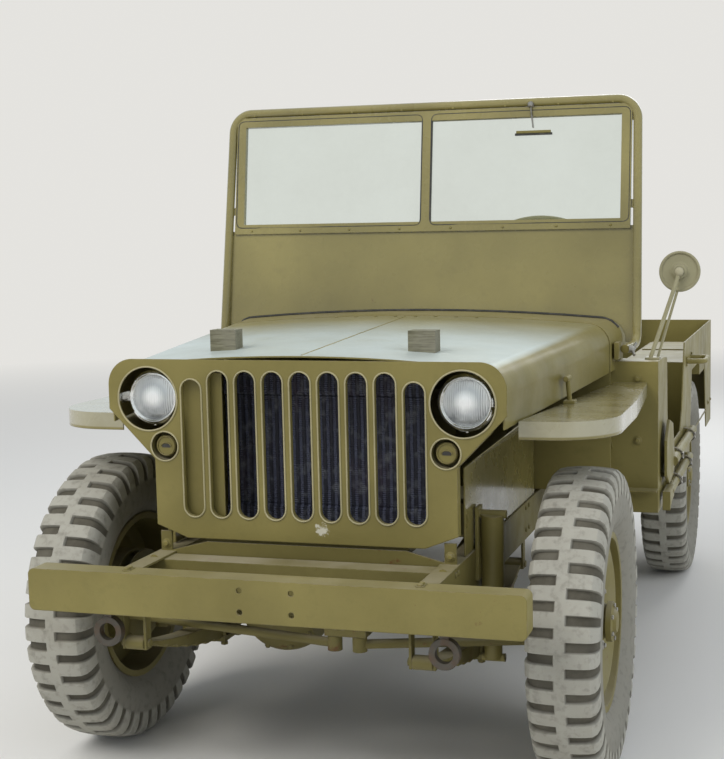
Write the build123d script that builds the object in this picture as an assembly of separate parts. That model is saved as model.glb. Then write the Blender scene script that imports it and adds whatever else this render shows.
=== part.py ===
from build123d import *
import os
from math import cos, hypot, radians, sin

# Sizes are in millimetres. While it is built, the car stands with its front axle over Y = 0 and drives
# towards -Y, with +X on its own left and the ground at Z = 0. At the end everything moves along Y, so
# that the origin is on the ground under the middle of the car's length.

# Overall sizes
LENGTH = 3336
FRONT_OVERHANG = 505
WHEELBASE = 2032
TRACK = 1226
BODY_HALF_WIDTH = 713
BODY_SHEET = 4
PANEL_GAP = 6
CLEARANCE = 0.3

SPARE_GAP = 24
RAIL_SETBACK = 22

REAR_AXLE_Y = WHEELBASE
REAR_END_Y = LENGTH - FRONT_OVERHANG
WHEEL_X = TRACK / 2

# Tyres and wheels
TYRE_DIAMETER = 736
TYRE_WIDTH = 164
TREAD_WIDTH = 122
RIM_DIAMETER = 406
RIM_WIDTH = 114
RIM_SHEET = 5
RIM_FLANGE = 11
DISC_DISH = 24
HUB_RADIUS = 48
HUB_REACH = 76
HUB_FLANGE_RADIUS = 76
DRUM_RADIUS = 117
DRUM_WIDTH = 42
DRUM_WALL = 7
SPINDLE_RADIUS = 22
BEARING_CLEARANCE = 0.05
AXLE_Z = TYRE_DIAMETER / 2

# Axles, knuckles and steering
KINGPIN_X = 500
BALL_RADIUS = 60
KNUCKLE_WALL = 12
KNUCKLE_LIP_ANGLE = 106
AXLE_TUBE_RADIUS = 32
DIFFERENTIAL_X = -150
DIFFERENTIAL_RADIUS = 120
BACKING_PLATE = 4
STEER_LOCK = 26
STEER_ARM_LENGTH = 172
STEER_ARM_SPREAD = 30
STEER_ARM_Z = AXLE_Z + 24
STEER_ARM_THICKNESS = 16
TIE_ROD_RADIUS = 11
BALL_JOINT_RADIUS = 17
BALL_JOINT_GAP = 0.5
BELL_CRANK_X = 110
BELL_CRANK_Y = -120
BELL_CRANK_PIN = 12
PITMAN_LENGTH = 140
PITMAN_X = 270
STEERING_BOX_REACH = 850
STEERING_BOX_HALF_WIDTH = 24

# Ladder frame
FRAME_HALF_WIDTH = 371
RAIL_HEIGHT = 102
RAIL_FLANGE = 45
RAIL_SHEET = 5
RAIL_Z = 452
RAIL_FRONT_Y = -446
RAIL_REAR_Y = REAR_END_Y - TYRE_WIDTH - SPARE_GAP - RAIL_SETBACK
RAIL_TOP_Z = RAIL_Z + RAIL_HEIGHT

EXHAUST_X = -250
EXHAUST_Z = RAIL_Z + 46
EXHAUST_RADIUS = 20

# Front bumper
BUMPER_HALF_LENGTH = 575
BUMPER_HEIGHT = 96
BUMPER_DEPTH = 58
BUMPER_SHEET = 6
BUMPER_Z = 462
BUMPER_FACE_Y = -FRONT_OVERHANG
BUMPER_BOLT_X = 60
BUMPER_BOLT_RISE = 24
BUMPER_BOLT_RADIUS = 6.5
BUMPERETTE_INNER_X = 250
BUMPERETTE_OUTER_X = 500

# Leaf springs
SPRING_X = 338
SPRING_WIDTH = 45
LEAF_THICKNESS = 6
LEAF_COUNT = 8
SPRING_SAG = 62
SPRING_PAD = 10
SPRING_SEAT_GAP = 1
SPRING_EYE_RADIUS = 16
FRONT_SPRING_LENGTH = 900
REAR_SPRING_LENGTH = 1040

# Nose of the car
GRILLE_Y = -268
HEADLAMP_DEPTH = 84
HEADLAMP_SETBACK = 26
HEADLAMP_BEZEL = 14
GRILLE_SHEET = 4
GRILLE_HALF_WIDTH = 485
GRILLE_LOW_HALF_WIDTH = 370
GRILLE_FOOT_HALF_WIDTH = 292
GRILLE_TOP_Z = 1012
GRILLE_SHOULDER_Z = 893
GRILLE_WAIST_Z = 775
GRILLE_STEP_Z = 618
GRILLE_BOTTOM_Z = 588
GRILLE_CORNER = 62
GRILLE_EDGE_DEPTH = 24
SLOT_COUNT = 9
SLOT_PITCH = 68
SLOT_WIDTH = 50
SLOT_COLLAR = 3
SLOT_COLLAR_DEPTH = 10
SLOT_TOP_Z = 985
SLOT_BOTTOM_Z = 640
OUTER_SLOT_TOP_Z = 965
HEADLAMP_X = 384
HEADLAMP_Z = 918
HEADLAMP_RADIUS = 66
HEADLAMP_HOLE_RADIUS = 75
MARKER_X = 344
MARKER_Z = 806
MARKER_RADIUS = 25
MARKER_HOLE_RADIUS = 34
TAIL_LAMP_X = 672
TAIL_LAMP_Z = 630
TAIL_LAMP_RADIUS = 30

# Radiator and baffle behind the grille
RADIATOR_HALF_WIDTH = 257
RADIATOR_Y = GRILLE_Y + 150
RADIATOR_DEPTH = 52
RADIATOR_Z = 598
RADIATOR_TOP_Z = 972
BAFFLE_OUTER_X = -(HEADLAMP_X - HEADLAMP_RADIUS - PANEL_GAP)
BAFFLE_INNER_X = -202
BAFFLE_Y = GRILLE_Y + 20

# Engine and gearbox blocks
ENGINE_FRONT_Y = -30
ENGINE_REAR_Y = 520
ENGINE_RIGHT_X = -130
ENGINE_LEFT_X = 160

# Hood and cowl
HOOD_SHEET = 4
HOOD_FRONT_Y = GRILLE_Y + GRILLE_SHEET + 2
HOOD_REAR_Y = 600
HOOD_FRONT_HALF_WIDTH = 478
HOOD_REAR_HALF_WIDTH = 584
HOOD_FRONT_TOP_Z = 1022
HOOD_REAR_TOP_Z = 1062
HOOD_CROWN = 22
HOOD_CORNER = 62
HOOD_SIDE_DEPTH = 138
HOOD_BLOCK_X = 251
HOOD_BLOCK_Y = -105
HOOD_BLOCK_WIDTH = 66
HOOD_BLOCK_DEPTH = 44
HOOD_BLOCK_TOP_Z = 1071
COWL_REAR_Y = 742

# Front fenders
FENDER_OVERLAP = 10
FENDER_TOP_Z = HOOD_FRONT_TOP_Z - HOOD_CROWN - HOOD_SIDE_DEPTH + FENDER_OVERLAP
FENDER_HALF_WIDTH = 706
FENDER_REAR_HALF_WIDTH = 682
FENDER_FRONT_Y = -190
FENDER_REAR_Y = 644
FENDER_CORNER = 150
FENDER_LIP = 42
FENDER_SHEET = 4
APRON_X = FRAME_HALF_WIDTH - 8
APRON_GAP = 10

# Body tub
FLOOR_Z = 566
SILL_Z = 500
SIDE_TOP_Z = 920
FIREWALL_Y = 606
REAR_PANEL_Z = 560
COWL_SIDE_Y = 650
DOOR_FRONT_Y = 905
DOOR_REAR_Y = 1420
DOOR_SILL_Z = 640
TUB_REAR_Y = REAR_END_Y - TYRE_WIDTH - SPARE_GAP
WHEELHOUSE_GAP = 50
WHEELHOUSE_WIDTH = BODY_HALF_WIDTH - (WHEEL_X - TYRE_WIDTH / 2 - WHEELHOUSE_GAP)
WHEELHOUSE_TOP_Z = 838
WHEELHOUSE_HALF_LENGTH = 425
ARCH_TOP_Z = 800
ARCH_HALF_WIDTH = 392

# Windshield
WINDSHIELD_HALF_WIDTH = 645
WINDSHIELD_Y = 762
WINDSHIELD_BOTTOM_Z = 1046
WINDSHIELD_TOP_Z = 1690
WINDSHIELD_LEAN = 8
WINDSHIELD_TUBE_RADIUS = 13
WINDSHIELD_PIVOT_X = 620
WINDSHIELD_PIVOT_Y = 645
WINDSHIELD_PIVOT_Z = 965
HOOP_BULGE = 9
SHEET_SIDE_GAP = 6
SHEET_LAP = 4
GLASS_FRAME_BOTTOM = 258
GLASS_FRAME_BAR = 30
GLASS_FRAME_DEPTH = 16
GLASS_THICKNESS = 5

# Cockpit
STEERING_WHEEL_X = 335
STEERING_WHEEL_Y = 1010
STEERING_WHEEL_Z = 1175
STEERING_WHEEL_RADIUS = 219
STEERING_RIM_RADIUS = 11
COLUMN_ANGLE = 40
COLUMN_RADIUS = 22
SEAT_X = 330
SEAT_WIDTH = 440
SEAT_DEPTH = 430
SEAT_FRONT_Y = 1080
SEAT_TUBE_RADIUS = 12
CUSHION_HEIGHT = 90
CUSHION_Z = 760
BACKREST_HEIGHT = 340
BACKREST_THICKNESS = 70
BACKREST_LEAN = 14
REAR_SEAT_WIDTH = 810
REAR_SEAT_Y = 1960
REAR_SEAT_DEPTH = 380

# Things hung on the outside
MIRROR_X = 762
MIRROR_Y = 752
MIRROR_Z = 1178
MIRROR_RADIUS = 58
SPARE_X = -300
SPARE_Z = 800
HANDLE_REACH = 70
HANDLE_RADIUS = 9

# Small fittings
SHACKLE_BORE = 11
PINTLE_Z = 560
SHOVEL_Z = 610
AXE_Z = 540
LOCKER_LID_LENGTH = 330
LOCKER_FLOOR_Z = 746
GLOVE_LID_WIDTH = 250
GLOVE_LID_HEIGHT = 110
GLOVE_LID_Z = 900

nodes = {}


def both_sides(shape):
    """The shape on the car's left and its mirror image on the right."""
    return [shape, mirror(shape, Plane.YZ)]


def box(x0, x1, y0, y1, z0, z1):
    """An upright box between two corners."""
    return Pos((x0 + x1) / 2, (y0 + y1) / 2, (z0 + z1) / 2) * Box(x1 - x0, y1 - y0, z1 - z0)


def rod(start, end, radius):
    """A round bar between two points."""
    path = Vector(*end) - Vector(*start)
    plane = Plane(origin=start, z_dir=path)
    return plane * Cylinder(radius, path.length, align=(Align.CENTER, Align.CENTER, Align.MIN))


def along_x(x0, x1, y, z, radius):
    """A round bar that lies across the car."""
    return rod((x0, y, z), (x1, y, z), radius)


def side_plate(points, x0, x1):
    """A plate cut to an outline of (Y, Z) points, standing between two X values."""
    outline = Plane.YZ * make_face(Polyline(*points, close=True))
    return Pos(x0, 0, 0) * extrude(outline, x1 - x0)


def flat_plate(points, z0, z1):
    """A plate cut to an outline of (X, Y) points, lying between two heights."""
    return Pos(0, 0, z0) * extrude(make_face(Polyline(*points, close=True)), z1 - z0)


def fuse(*shapes):
    """All the shapes as one solid."""
    whole = shapes[0]
    return whole.fuse(*shapes[1:]) if len(shapes) > 1 else whole


def bent_tube(points, radius, bend):
    """A round bar along straight runs joined by arcs."""
    path = FilletPolyline(*points, radius=bend)
    return sweep(Plane(origin=path @ 0, z_dir=path % 0) * Circle(radius), path=path)


def tyre():
    """A tyre about the X axis, centred on the origin."""
    outer, bead = TYRE_DIAMETER / 2, RIM_DIAMETER / 2 + CLEARANCE
    half, tread, foot = TYRE_WIDTH / 2, TREAD_WIDTH / 2, RIM_WIDTH / 2 - RIM_SHEET - CLEARANCE
    belly = bead + 0.52 * (outer - bead)
    crown = 5
    right = [(foot, bead), (foot, bead + RIM_FLANGE), (half - 6, bead + 40)]
    with BuildSketch() as section:
        with BuildLine():
            Polyline((-foot, bead), right[0], right[1])
            ThreePointArc(right[1], (half, belly), (tread, outer - crown))
            ThreePointArc((tread, outer - crown), (0, outer), (-tread, outer - crown))
            ThreePointArc((-tread, outer - crown), (-half, belly), (-foot, bead + RIM_FLANGE))
            Line((-foot, bead + RIM_FLANGE), (-foot, bead))
        make_face()
    return revolve(section.sketch, Axis.X)


def rim():
    """A wheel with its hub and brake drum about the X axis. Its outer face looks towards +X."""
    outer = RIM_DIAMETER / 2
    half = RIM_WIDTH / 2
    barrel = Plane.XY * make_face(Polyline(
        (-half, outer - RIM_SHEET), (half, outer - RIM_SHEET), (half, outer + RIM_FLANGE),
        (half - RIM_SHEET, outer + RIM_FLANGE), (half - RIM_SHEET, outer),
        (-half + RIM_SHEET, outer), (-half + RIM_SHEET, outer + RIM_FLANGE),
        (-half, outer + RIM_FLANGE), close=True))
    disc_x = 18
    disc = make_face(Polyline(
        (disc_x, HUB_RADIUS - 4), (disc_x, HUB_FLANGE_RADIUS),
        (disc_x + DISC_DISH, outer - 40), (disc_x + DISC_DISH - 10, outer - RIM_SHEET / 2),
        (disc_x + DISC_DISH - 4, outer - RIM_SHEET / 2), (disc_x + DISC_DISH + 6, outer - 40),
        (disc_x + RIM_SHEET, HUB_FLANGE_RADIUS), (disc_x + RIM_SHEET, HUB_RADIUS - 4), close=True))
    drum_back = disc_x - 6
    hub = make_face(Polyline(
        (drum_back - DRUM_WALL, 0), (drum_back - DRUM_WALL, DRUM_RADIUS - DRUM_WALL),
        (drum_back - DRUM_WIDTH, DRUM_RADIUS - DRUM_WALL), (drum_back - DRUM_WIDTH, DRUM_RADIUS),
        (drum_back, DRUM_RADIUS), (drum_back, HUB_FLANGE_RADIUS), (disc_x, HUB_FLANGE_RADIUS),
        (disc_x + RIM_SHEET + 4, HUB_RADIUS + 6), (HUB_REACH - 26, HUB_RADIUS - 10),
        (HUB_REACH - 24, HUB_RADIUS), (HUB_REACH - 10, HUB_RADIUS), (HUB_REACH - 8, 30),
        (HUB_REACH, 24), (HUB_REACH, 0), close=True))
    turned = fuse(*[revolve(profile, Axis.X) for profile in (barrel, disc, hub)])
    bore = along_x(-RIM_WIDTH, HUB_REACH - 14, 0, 0, SPINDLE_RADIUS + BEARING_CLEARANCE)
    return turned - bore


def wheel_places():
    """Each road wheel's name, side and place."""
    return [
        ("front_left", 1, (WHEEL_X, 0, AXLE_Z)),
        ("front_right", -1, (-WHEEL_X, 0, AXLE_Z)),
        ("rear_left", 1, (WHEEL_X, REAR_AXLE_Y, AXLE_Z)),
        ("rear_right", -1, (-WHEEL_X, REAR_AXLE_Y, AXLE_Z)),
    ]


def add_wheels():
    one_tyre, one_rim = tyre(), rim()
    for name, side, place in wheel_places():
        turn = Rot(0, 0, 0 if side > 0 else 180)
        nodes[name + "_tyre"] = Pos(*place) * one_tyre
        nodes[name + "_rim"] = Pos(*place) * (turn * one_rim)
    spare_y = TUB_REAR_Y + SPARE_GAP + TYRE_WIDTH / 2
    outward = Pos(SPARE_X, spare_y, SPARE_Z) * Rot(0, 0, 90)
    spare_rim = one_rim - along_x(-RIM_WIDTH, 12, 0, 0, DRUM_RADIUS + 1)
    spare_rim = spare_rim - along_x(24, HUB_REACH + 1, 0, 0, HUB_RADIUS + 12)
    nodes["spare_tyre"] = outward * one_tyre
    nodes["spare_rim"] = outward * spare_rim


def spindle(side):
    """The stub that one wheel turns on, with the brake backing plate behind it."""
    inner = WHEEL_X - 58
    outer = WHEEL_X + HUB_REACH - 16
    plate = along_x(inner, inner + BACKING_PLATE, 0, AXLE_Z, DRUM_RADIUS)
    stub = along_x(inner, outer, 0, AXLE_Z, SPINDLE_RADIUS)
    shape = fuse(plate, stub)
    return shape if side > 0 else mirror(shape, Plane.YZ)


def differential(y):
    """The round housing on an axle, offset towards the car's right."""
    ball = Pos(DIFFERENTIAL_X, y, AXLE_Z) * Sphere(DIFFERENTIAL_RADIUS)
    keep = box(DIFFERENTIAL_X - 88, DIFFERENTIAL_X + 88, y - 150, y + 150, AXLE_Z - 150, AXLE_Z + 150)
    return ball & keep


def spring_pads(y, tube_radius):
    """The two seats under an axle that rest on the springs."""
    low = AXLE_Z - tube_radius - SPRING_PAD + SPRING_SEAT_GAP
    return both_sides(box(SPRING_X - 26, SPRING_X + 26, y - 55, y + 55, low, AXLE_Z - 10))


def front_axle():
    tube = along_x(-KINGPIN_X, KINGPIN_X, 0, AXLE_Z, AXLE_TUBE_RADIUS)
    nose = rod((DIFFERENTIAL_X, 0, AXLE_Z), (DIFFERENTIAL_X, 210, AXLE_Z + 12), 44)
    balls = [Pos(side * KINGPIN_X, 0, AXLE_Z) * Sphere(BALL_RADIUS) for side in (1, -1)]
    pads = spring_pads(0, AXLE_TUBE_RADIUS)
    crank_low = STEER_ARM_Z - STEER_ARM_THICKNESS / 2
    crank_post = rod((BELL_CRANK_X, BELL_CRANK_Y, crank_low - 30),
                     (BELL_CRANK_X, BELL_CRANK_Y, STEER_ARM_Z + STEER_ARM_THICKNESS), BELL_CRANK_PIN)
    crank_bracket = box(BELL_CRANK_X - 24, BELL_CRANK_X + 24, BELL_CRANK_Y - 20, -10, crank_low - 30,
                        crank_low - 5)
    return fuse(tube, nose, differential(0), *balls, *pads, crank_bracket, crank_post)


def rear_axle():
    y = REAR_AXLE_Y
    tube = along_x(-WHEEL_X + 58, WHEEL_X - 58, y, AXLE_Z, AXLE_TUBE_RADIUS + 3)
    nose = rod((DIFFERENTIAL_X, y, AXLE_Z), (DIFFERENTIAL_X, y - 210, AXLE_Z + 12), 44)
    pads = spring_pads(y, AXLE_TUBE_RADIUS)
    ends = [Pos(0, y, 0) * spindle(side) for side in (1, -1)]
    return fuse(tube, nose, differential(y), *pads, *ends)


def knuckle():
    """The left steering knuckle: a bowl round the axle's ball, the spindle and a forward arm."""
    inner, outer = BALL_RADIUS + CLEARANCE, BALL_RADIUS + KNUCKLE_WALL
    lip = radians(KNUCKLE_LIP_ANGLE)
    plate_x = WHEEL_X - 58 - KINGPIN_X
    end_x = WHEEL_X + HUB_REACH - 16 - KINGPIN_X
    flange = 46
    flange_x = (outer ** 2 - flange ** 2) ** 0.5
    with BuildSketch() as section:
        with BuildLine():
            Line((inner, 0), (end_x, 0))
            Polyline((end_x, 0), (end_x, SPINDLE_RADIUS), (plate_x + BACKING_PLATE, SPINDLE_RADIUS),
                     (plate_x + BACKING_PLATE, DRUM_RADIUS), (plate_x, DRUM_RADIUS), (plate_x, flange),
                     (flange_x, flange))
            ThreePointArc((flange_x, flange), (0, outer), (outer * cos(lip), outer * sin(lip)))
            Line((outer * cos(lip), outer * sin(lip)), (inner * cos(lip), inner * sin(lip)))
            ThreePointArc((inner * cos(lip), inner * sin(lip)),
                          (inner * cos(lip / 2), inner * sin(lip / 2)), (inner, 0))
        make_face()
    centre = Pos(KINGPIN_X, 0, AXLE_Z)
    turned = centre * revolve(section.sketch, Axis.X)
    caps = [rod((KINGPIN_X, 0, AXLE_Z + side * (BALL_RADIUS + 3)),
                (KINGPIN_X, 0, AXLE_Z + side * (BALL_RADIUS + KNUCKLE_WALL + 8)), 24) for side in (1, -1)]
    arm_x = KINGPIN_X + STEER_ARM_SPREAD
    thick = STEER_ARM_THICKNESS / 2
    root_y = -BALL_RADIUS - 3
    tip_y = -STEER_ARM_LENGTH - 14
    arm = flat_plate([(KINGPIN_X - 14, root_y), (KINGPIN_X + 26, root_y), (arm_x + 17, tip_y),
                      (arm_x - 17, tip_y)], STEER_ARM_Z - thick, STEER_ARM_Z + thick)
    return fuse(turned, *caps, arm)


def bell_crank():
    """The plate that turns on the front axle and pulls both tie rods."""
    x, y = BELL_CRANK_X, BELL_CRANK_Y
    end_y = y - STEER_ARM_LENGTH - 16
    thick = STEER_ARM_THICKNESS / 2
    half = STEER_ARM_SPREAD + 20
    tip = x + PITMAN_LENGTH + 18
    plate = flat_plate([(x - 30, y + 26), (x + 30, y + 26), (tip, y + 16), (tip, y - 16), (x + half, y - 40),
                        (x + half, end_y), (x - half, end_y), (x - half, y - 40)],
                       STEER_ARM_Z - thick, STEER_ARM_Z + thick)
    hole = rod((x, y, STEER_ARM_Z - 60), (x, y, STEER_ARM_Z + 60), BELL_CRANK_PIN + BEARING_CLEARANCE)
    return plate - hole


def tie_rod(side):
    """A tie rod hung under the bell crank and a knuckle's arm, with an upright ball joint at each end."""
    top = STEER_ARM_Z - STEER_ARM_THICKNESS / 2 - BALL_JOINT_GAP
    z = top - 8 - TIE_ROD_RADIUS
    inner = (BELL_CRANK_X + side * STEER_ARM_SPREAD, BELL_CRANK_Y - STEER_ARM_LENGTH)
    outer = (side * (KINGPIN_X + STEER_ARM_SPREAD), -STEER_ARM_LENGTH)
    bar = rod((*inner, z), (*outer, z), TIE_ROD_RADIUS)
    ends = [rod((*end, z - 16), (*end, top), BALL_JOINT_RADIUS) for end in (inner, outer)]
    return fuse(bar, *ends)


def steering_box_centre():
    """Where the column meets the steering box, as a (Y, Z) point."""
    lean = radians(COLUMN_ANGLE)
    reach = STEERING_BOX_REACH
    return STEERING_WHEEL_Y - reach * cos(lean), STEERING_WHEEL_Z - reach * sin(lean)


def steering_box():
    y, z = steering_box_centre()
    x1 = STEERING_WHEEL_X + STEERING_BOX_HALF_WIDTH
    body = box(PITMAN_X + 24, x1, y - 60, y + 50, z - 50, z + 50)
    foot = box(FRAME_HALF_WIDTH - RAIL_FLANGE + 4, x1, y - 50, y + 50, RAIL_TOP_Z, z)
    shaft = along_x(PITMAN_X + 10, PITMAN_X + 40, y, z, 15)
    return fuse(body, foot, shaft)


def pitman_arm():
    """The arm that hangs on the steering box's cross shaft and swings fore and aft."""
    y, z = steering_box_centre()
    arm = side_plate([(y - 22, z + 22), (y + 22, z + 22), (y + 15, z - PITMAN_LENGTH - 15),
                      (y - 15, z - PITMAN_LENGTH - 15)], PITMAN_X - 8, PITMAN_X + 8)
    hole = along_x(PITMAN_X - 20, PITMAN_X + 20, y, z, 15 + BEARING_CLEARANCE)
    cap = along_x(PITMAN_X - 20, PITMAN_X - 8, y, z, 26)
    return fuse(arm - hole, cap)


def drag_link():
    """The long rod from the pitman arm forward to the bell crank."""
    y, z = steering_box_centre()
    x = PITMAN_X - 8 - BALL_JOINT_GAP - TIE_ROD_RADIUS - 8
    back = (x, y, z - PITMAN_LENGTH)
    front_z = STEER_ARM_Z + STEER_ARM_THICKNESS / 2 + 5 + BALL_JOINT_RADIUS
    front = (BELL_CRANK_X + PITMAN_LENGTH, BELL_CRANK_Y, front_z)
    bar = rod(front, back, TIE_ROD_RADIUS)
    rear_joint = along_x(x - 14, PITMAN_X - 8 - BALL_JOINT_GAP, back[1], back[2], BALL_JOINT_RADIUS)
    front_joint = rod((front[0], front[1], front_z - BALL_JOINT_RADIUS), (front[0], front[1], front_z + 16),
                      BALL_JOINT_RADIUS)
    return fuse(bar, rear_joint, front_joint)


def shock_absorber(y, side_y, top_z):
    """A telescopic damper from the frame to the spring's clamp plate."""
    top = (408, y + side_y * 96, top_z)
    foot = (396, y + side_y * 52, AXLE_Z - 90)
    along = Vector(*top) - Vector(*foot)
    middle = Vector(*foot) + along * 0.48
    rod_part = rod(foot, top, 14)
    can = rod(tuple(middle), top, 27)
    lower = rod(foot, tuple(middle + along * 0.06), 22)
    bracket_y = y + side_y * 96
    upper = box(FRAME_HALF_WIDTH, FRAME_HALF_WIDTH + 8, bracket_y - 22, bracket_y + 22,
                RAIL_Z + 30, top[2] + 18)
    pin = along_x(FRAME_HALF_WIDTH + 4, top[0] + 34, top[1], top[2], 10)
    low_pin = along_x(SPRING_X + SPRING_WIDTH / 2 + 8, foot[0] + 30, foot[1], foot[2], 10)
    return fuse(rod_part, can, lower, upper, pin, low_pin)


def leaf_spring(y, length):
    """One spring pack under the axle at Y, with its eyes, hangers and clamp plate."""
    top_z = AXLE_Z - AXLE_TUBE_RADIUS - SPRING_PAD
    half = length / 2
    radius = (half ** 2 + SPRING_SAG ** 2) / (2 * SPRING_SAG)
    centre = Pos(SPRING_X, y, top_z + radius)
    pieces = []
    for number in range(LEAF_COUNT):
        reach = half * (1 - 0.115 * number)
        turn = reach / radius
        inner = radius + LEAF_THICKNESS * number
        outer = inner + LEAF_THICKNESS
        with BuildSketch(Plane.YZ) as section:
            with BuildLine():
                ThreePointArc((-inner * sin(turn), -inner * cos(turn)), (0, -inner),
                              (inner * sin(turn), -inner * cos(turn)))
                Line((inner * sin(turn), -inner * cos(turn)), (outer * sin(turn), -outer * cos(turn)))
                ThreePointArc((outer * sin(turn), -outer * cos(turn)), (0, -outer),
                              (-outer * sin(turn), -outer * cos(turn)))
                Line((-outer * sin(turn), -outer * cos(turn)), (-inner * sin(turn), -inner * cos(turn)))
            make_face()
        pieces.append(centre * extrude(section.sketch, SPRING_WIDTH / 2, both=True))
    eye_z = top_z + SPRING_SAG
    x0, x1 = SPRING_X - SPRING_WIDTH / 2, SPRING_X + SPRING_WIDTH / 2
    for end in (-half, half):
        pieces.append(along_x(x0, x1, y + end, eye_z - LEAF_THICKNESS / 2, SPRING_EYE_RADIUS))
        for px in (x0 - 7, x1 + 1):
            link = side_plate([(y + end - 12, eye_z - 16), (y + end + 12, eye_z - 16),
                               (y + end + 13, RAIL_Z), (y + end - 13, RAIL_Z)], px, px + 6)
            pieces.append(link)
        pieces.append(along_x(x0 - 12, x1 + 12, y + end, eye_z - LEAF_THICKNESS / 2, 9))
    stack = LEAF_THICKNESS * LEAF_COUNT
    pieces.append(box(x0 - 8, x1 + 8, y - 50, y + 50, top_z - stack - 10, top_z - stack + 4))
    return fuse(*pieces)


def steering_axis():
    """A plane whose Z runs up the steering column, with its origin at the steering wheel's centre."""
    lean = radians(COLUMN_ANGLE)
    return Plane(origin=(STEERING_WHEEL_X, STEERING_WHEEL_Y, STEERING_WHEEL_Z),
                 x_dir=(1, 0, 0), z_dir=(0, cos(lean), sin(lean)))


def hood_outline(half_width, top_z, depth):
    """Points and arcs of the hood's section, as a closed face in X and Z."""
    corner = HOOD_CORNER
    shoulder_z = top_z - HOOD_CROWN
    bottom_z = shoulder_z - depth
    with BuildSketch(Plane.XZ) as section:
        with BuildLine():
            Line((-half_width, bottom_z), (-half_width, shoulder_z - corner))
            RadiusArc((-half_width, shoulder_z - corner), (-half_width + corner, shoulder_z), corner)
            ThreePointArc((-half_width + corner, shoulder_z), (0, top_z), (half_width - corner, shoulder_z))
            RadiusArc((half_width - corner, shoulder_z), (half_width, shoulder_z - corner), corner)
            Line((half_width, shoulder_z - corner), (half_width, bottom_z))
            Line((half_width, bottom_z), (-half_width, bottom_z))
        make_face()
    return section.sketch


def hood_size(y):
    """The hood line's half width and top height at a distance behind the front axle."""
    share = (y - HOOD_FRONT_Y) / (HOOD_REAR_Y - HOOD_FRONT_Y)
    half_width = HOOD_FRONT_HALF_WIDTH + share * (HOOD_REAR_HALF_WIDTH - HOOD_FRONT_HALF_WIDTH)
    top_z = HOOD_FRONT_TOP_Z + share * (HOOD_REAR_TOP_Z - HOOD_FRONT_TOP_Z)
    return half_width, top_z


def hood_shell(y0, y1):
    """The arched sheet between two stations of the hood line, open below."""
    def section(y, wall):
        half_width, top_z = hood_size(y)
        depth = HOOD_SIDE_DEPTH + (40 if wall else 0)
        return Pos(0, y, 0) * hood_outline(half_width - wall, top_z - wall, depth)

    outer = loft([section(y0, 0), section(y1, 0)], ruled=True)
    inner = loft([section(y0 - 1, HOOD_SHEET), section(y1 + 1, HOOD_SHEET)], ruled=True)
    return outer - inner


def hood():
    return hood_shell(HOOD_FRONT_Y, HOOD_REAR_Y - PANEL_GAP)


def add_chassis():
    add_frame()
    nodes["front_axle"] = front_axle()
    nodes["rear_axle"] = rear_axle()
    springs = both_sides(leaf_spring(0, FRONT_SPRING_LENGTH))
    springs += both_sides(leaf_spring(REAR_AXLE_Y, REAR_SPRING_LENGTH))
    nodes["leaf_springs"] = Compound(children=springs)
    left = knuckle()
    nodes["left_knuckle"], nodes["right_knuckle"] = both_sides(left)
    nodes["bell_crank"] = bell_crank()
    nodes["left_tie_rod"] = tie_rod(1)
    nodes["right_tie_rod"] = tie_rod(-1)
    nodes["steering_box"] = steering_box()
    nodes["pitman_arm"] = pitman_arm()
    nodes["drag_link"] = drag_link()
    dampers = both_sides(shock_absorber(0, -1, RAIL_TOP_Z + 84))
    dampers += both_sides(shock_absorber(REAR_AXLE_Y, 1, RAIL_TOP_Z - 16))
    nodes["shock_absorbers"] = Compound(children=dampers)
    add_drive_line()


def add_drive_line():
    """The engine as one block, the gearbox, both propeller shafts, exhaust, radiator and fuel tank."""
    engine = box(ENGINE_RIGHT_X, ENGINE_LEFT_X, ENGINE_FRONT_Y, ENGINE_REAR_Y, RAIL_TOP_Z + 6, 860)
    pan = box(-90, 130, 80, 420, RAIL_Z + 20, RAIL_TOP_Z + 6)
    nodes["engine_block"] = fuse(engine, pan)
    rear_floor = FLOOR_Z - 12
    bell = box(-110, 110, ENGINE_REAR_Y + 6, 600, RAIL_Z + 30, rear_floor)
    case = fillet(box(-80, 80, 600, 900, RAIL_Z + 10, rear_floor).edges().filter_by(Axis.Y), 14)
    transfer = fillet(box(-190, 80, 900, 1080, RAIL_Z - 110, rear_floor).edges().filter_by(Axis.X), 20)
    nodes["gearbox"] = fuse(bell, case, transfer)
    case_z = RAIL_Z - 60
    case_room = box(-191, 81, 899, 1081, RAIL_Z - 111, rear_floor)
    front = rod((DIFFERENTIAL_X, 212, AXLE_Z + 12), (DIFFERENTIAL_X, 898, case_z), 20)
    rear = rod((DIFFERENTIAL_X, 1082, case_z), (DIFFERENTIAL_X, REAR_AXLE_Y - 212, AXLE_Z + 12), 20)
    nodes["propeller_shafts"] = Compound(children=[front - case_room, rear - case_room])
    pipe = rod((EXHAUST_X, 560, EXHAUST_Z), (EXHAUST_X, 1760, EXHAUST_Z), EXHAUST_RADIUS)
    muffler = rod((EXHAUST_X, 1210, EXHAUST_Z), (EXHAUST_X, 1550, EXHAUST_Z), 48)
    nodes["exhaust"] = fuse(pipe, muffler)
    nodes["radiator"] = radiator()
    nodes["radiator_baffle"] = radiator_baffle()
    floor_top = FLOOR_Z + BODY_SHEET
    nodes["fuel_tank"] = box(SEAT_X - 165, SEAT_X + 165, SEAT_FRONT_Y + 30, SEAT_FRONT_Y + SEAT_DEPTH - 40,
                             floor_top + CLEARANCE, CUSHION_Z - 30)


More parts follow.
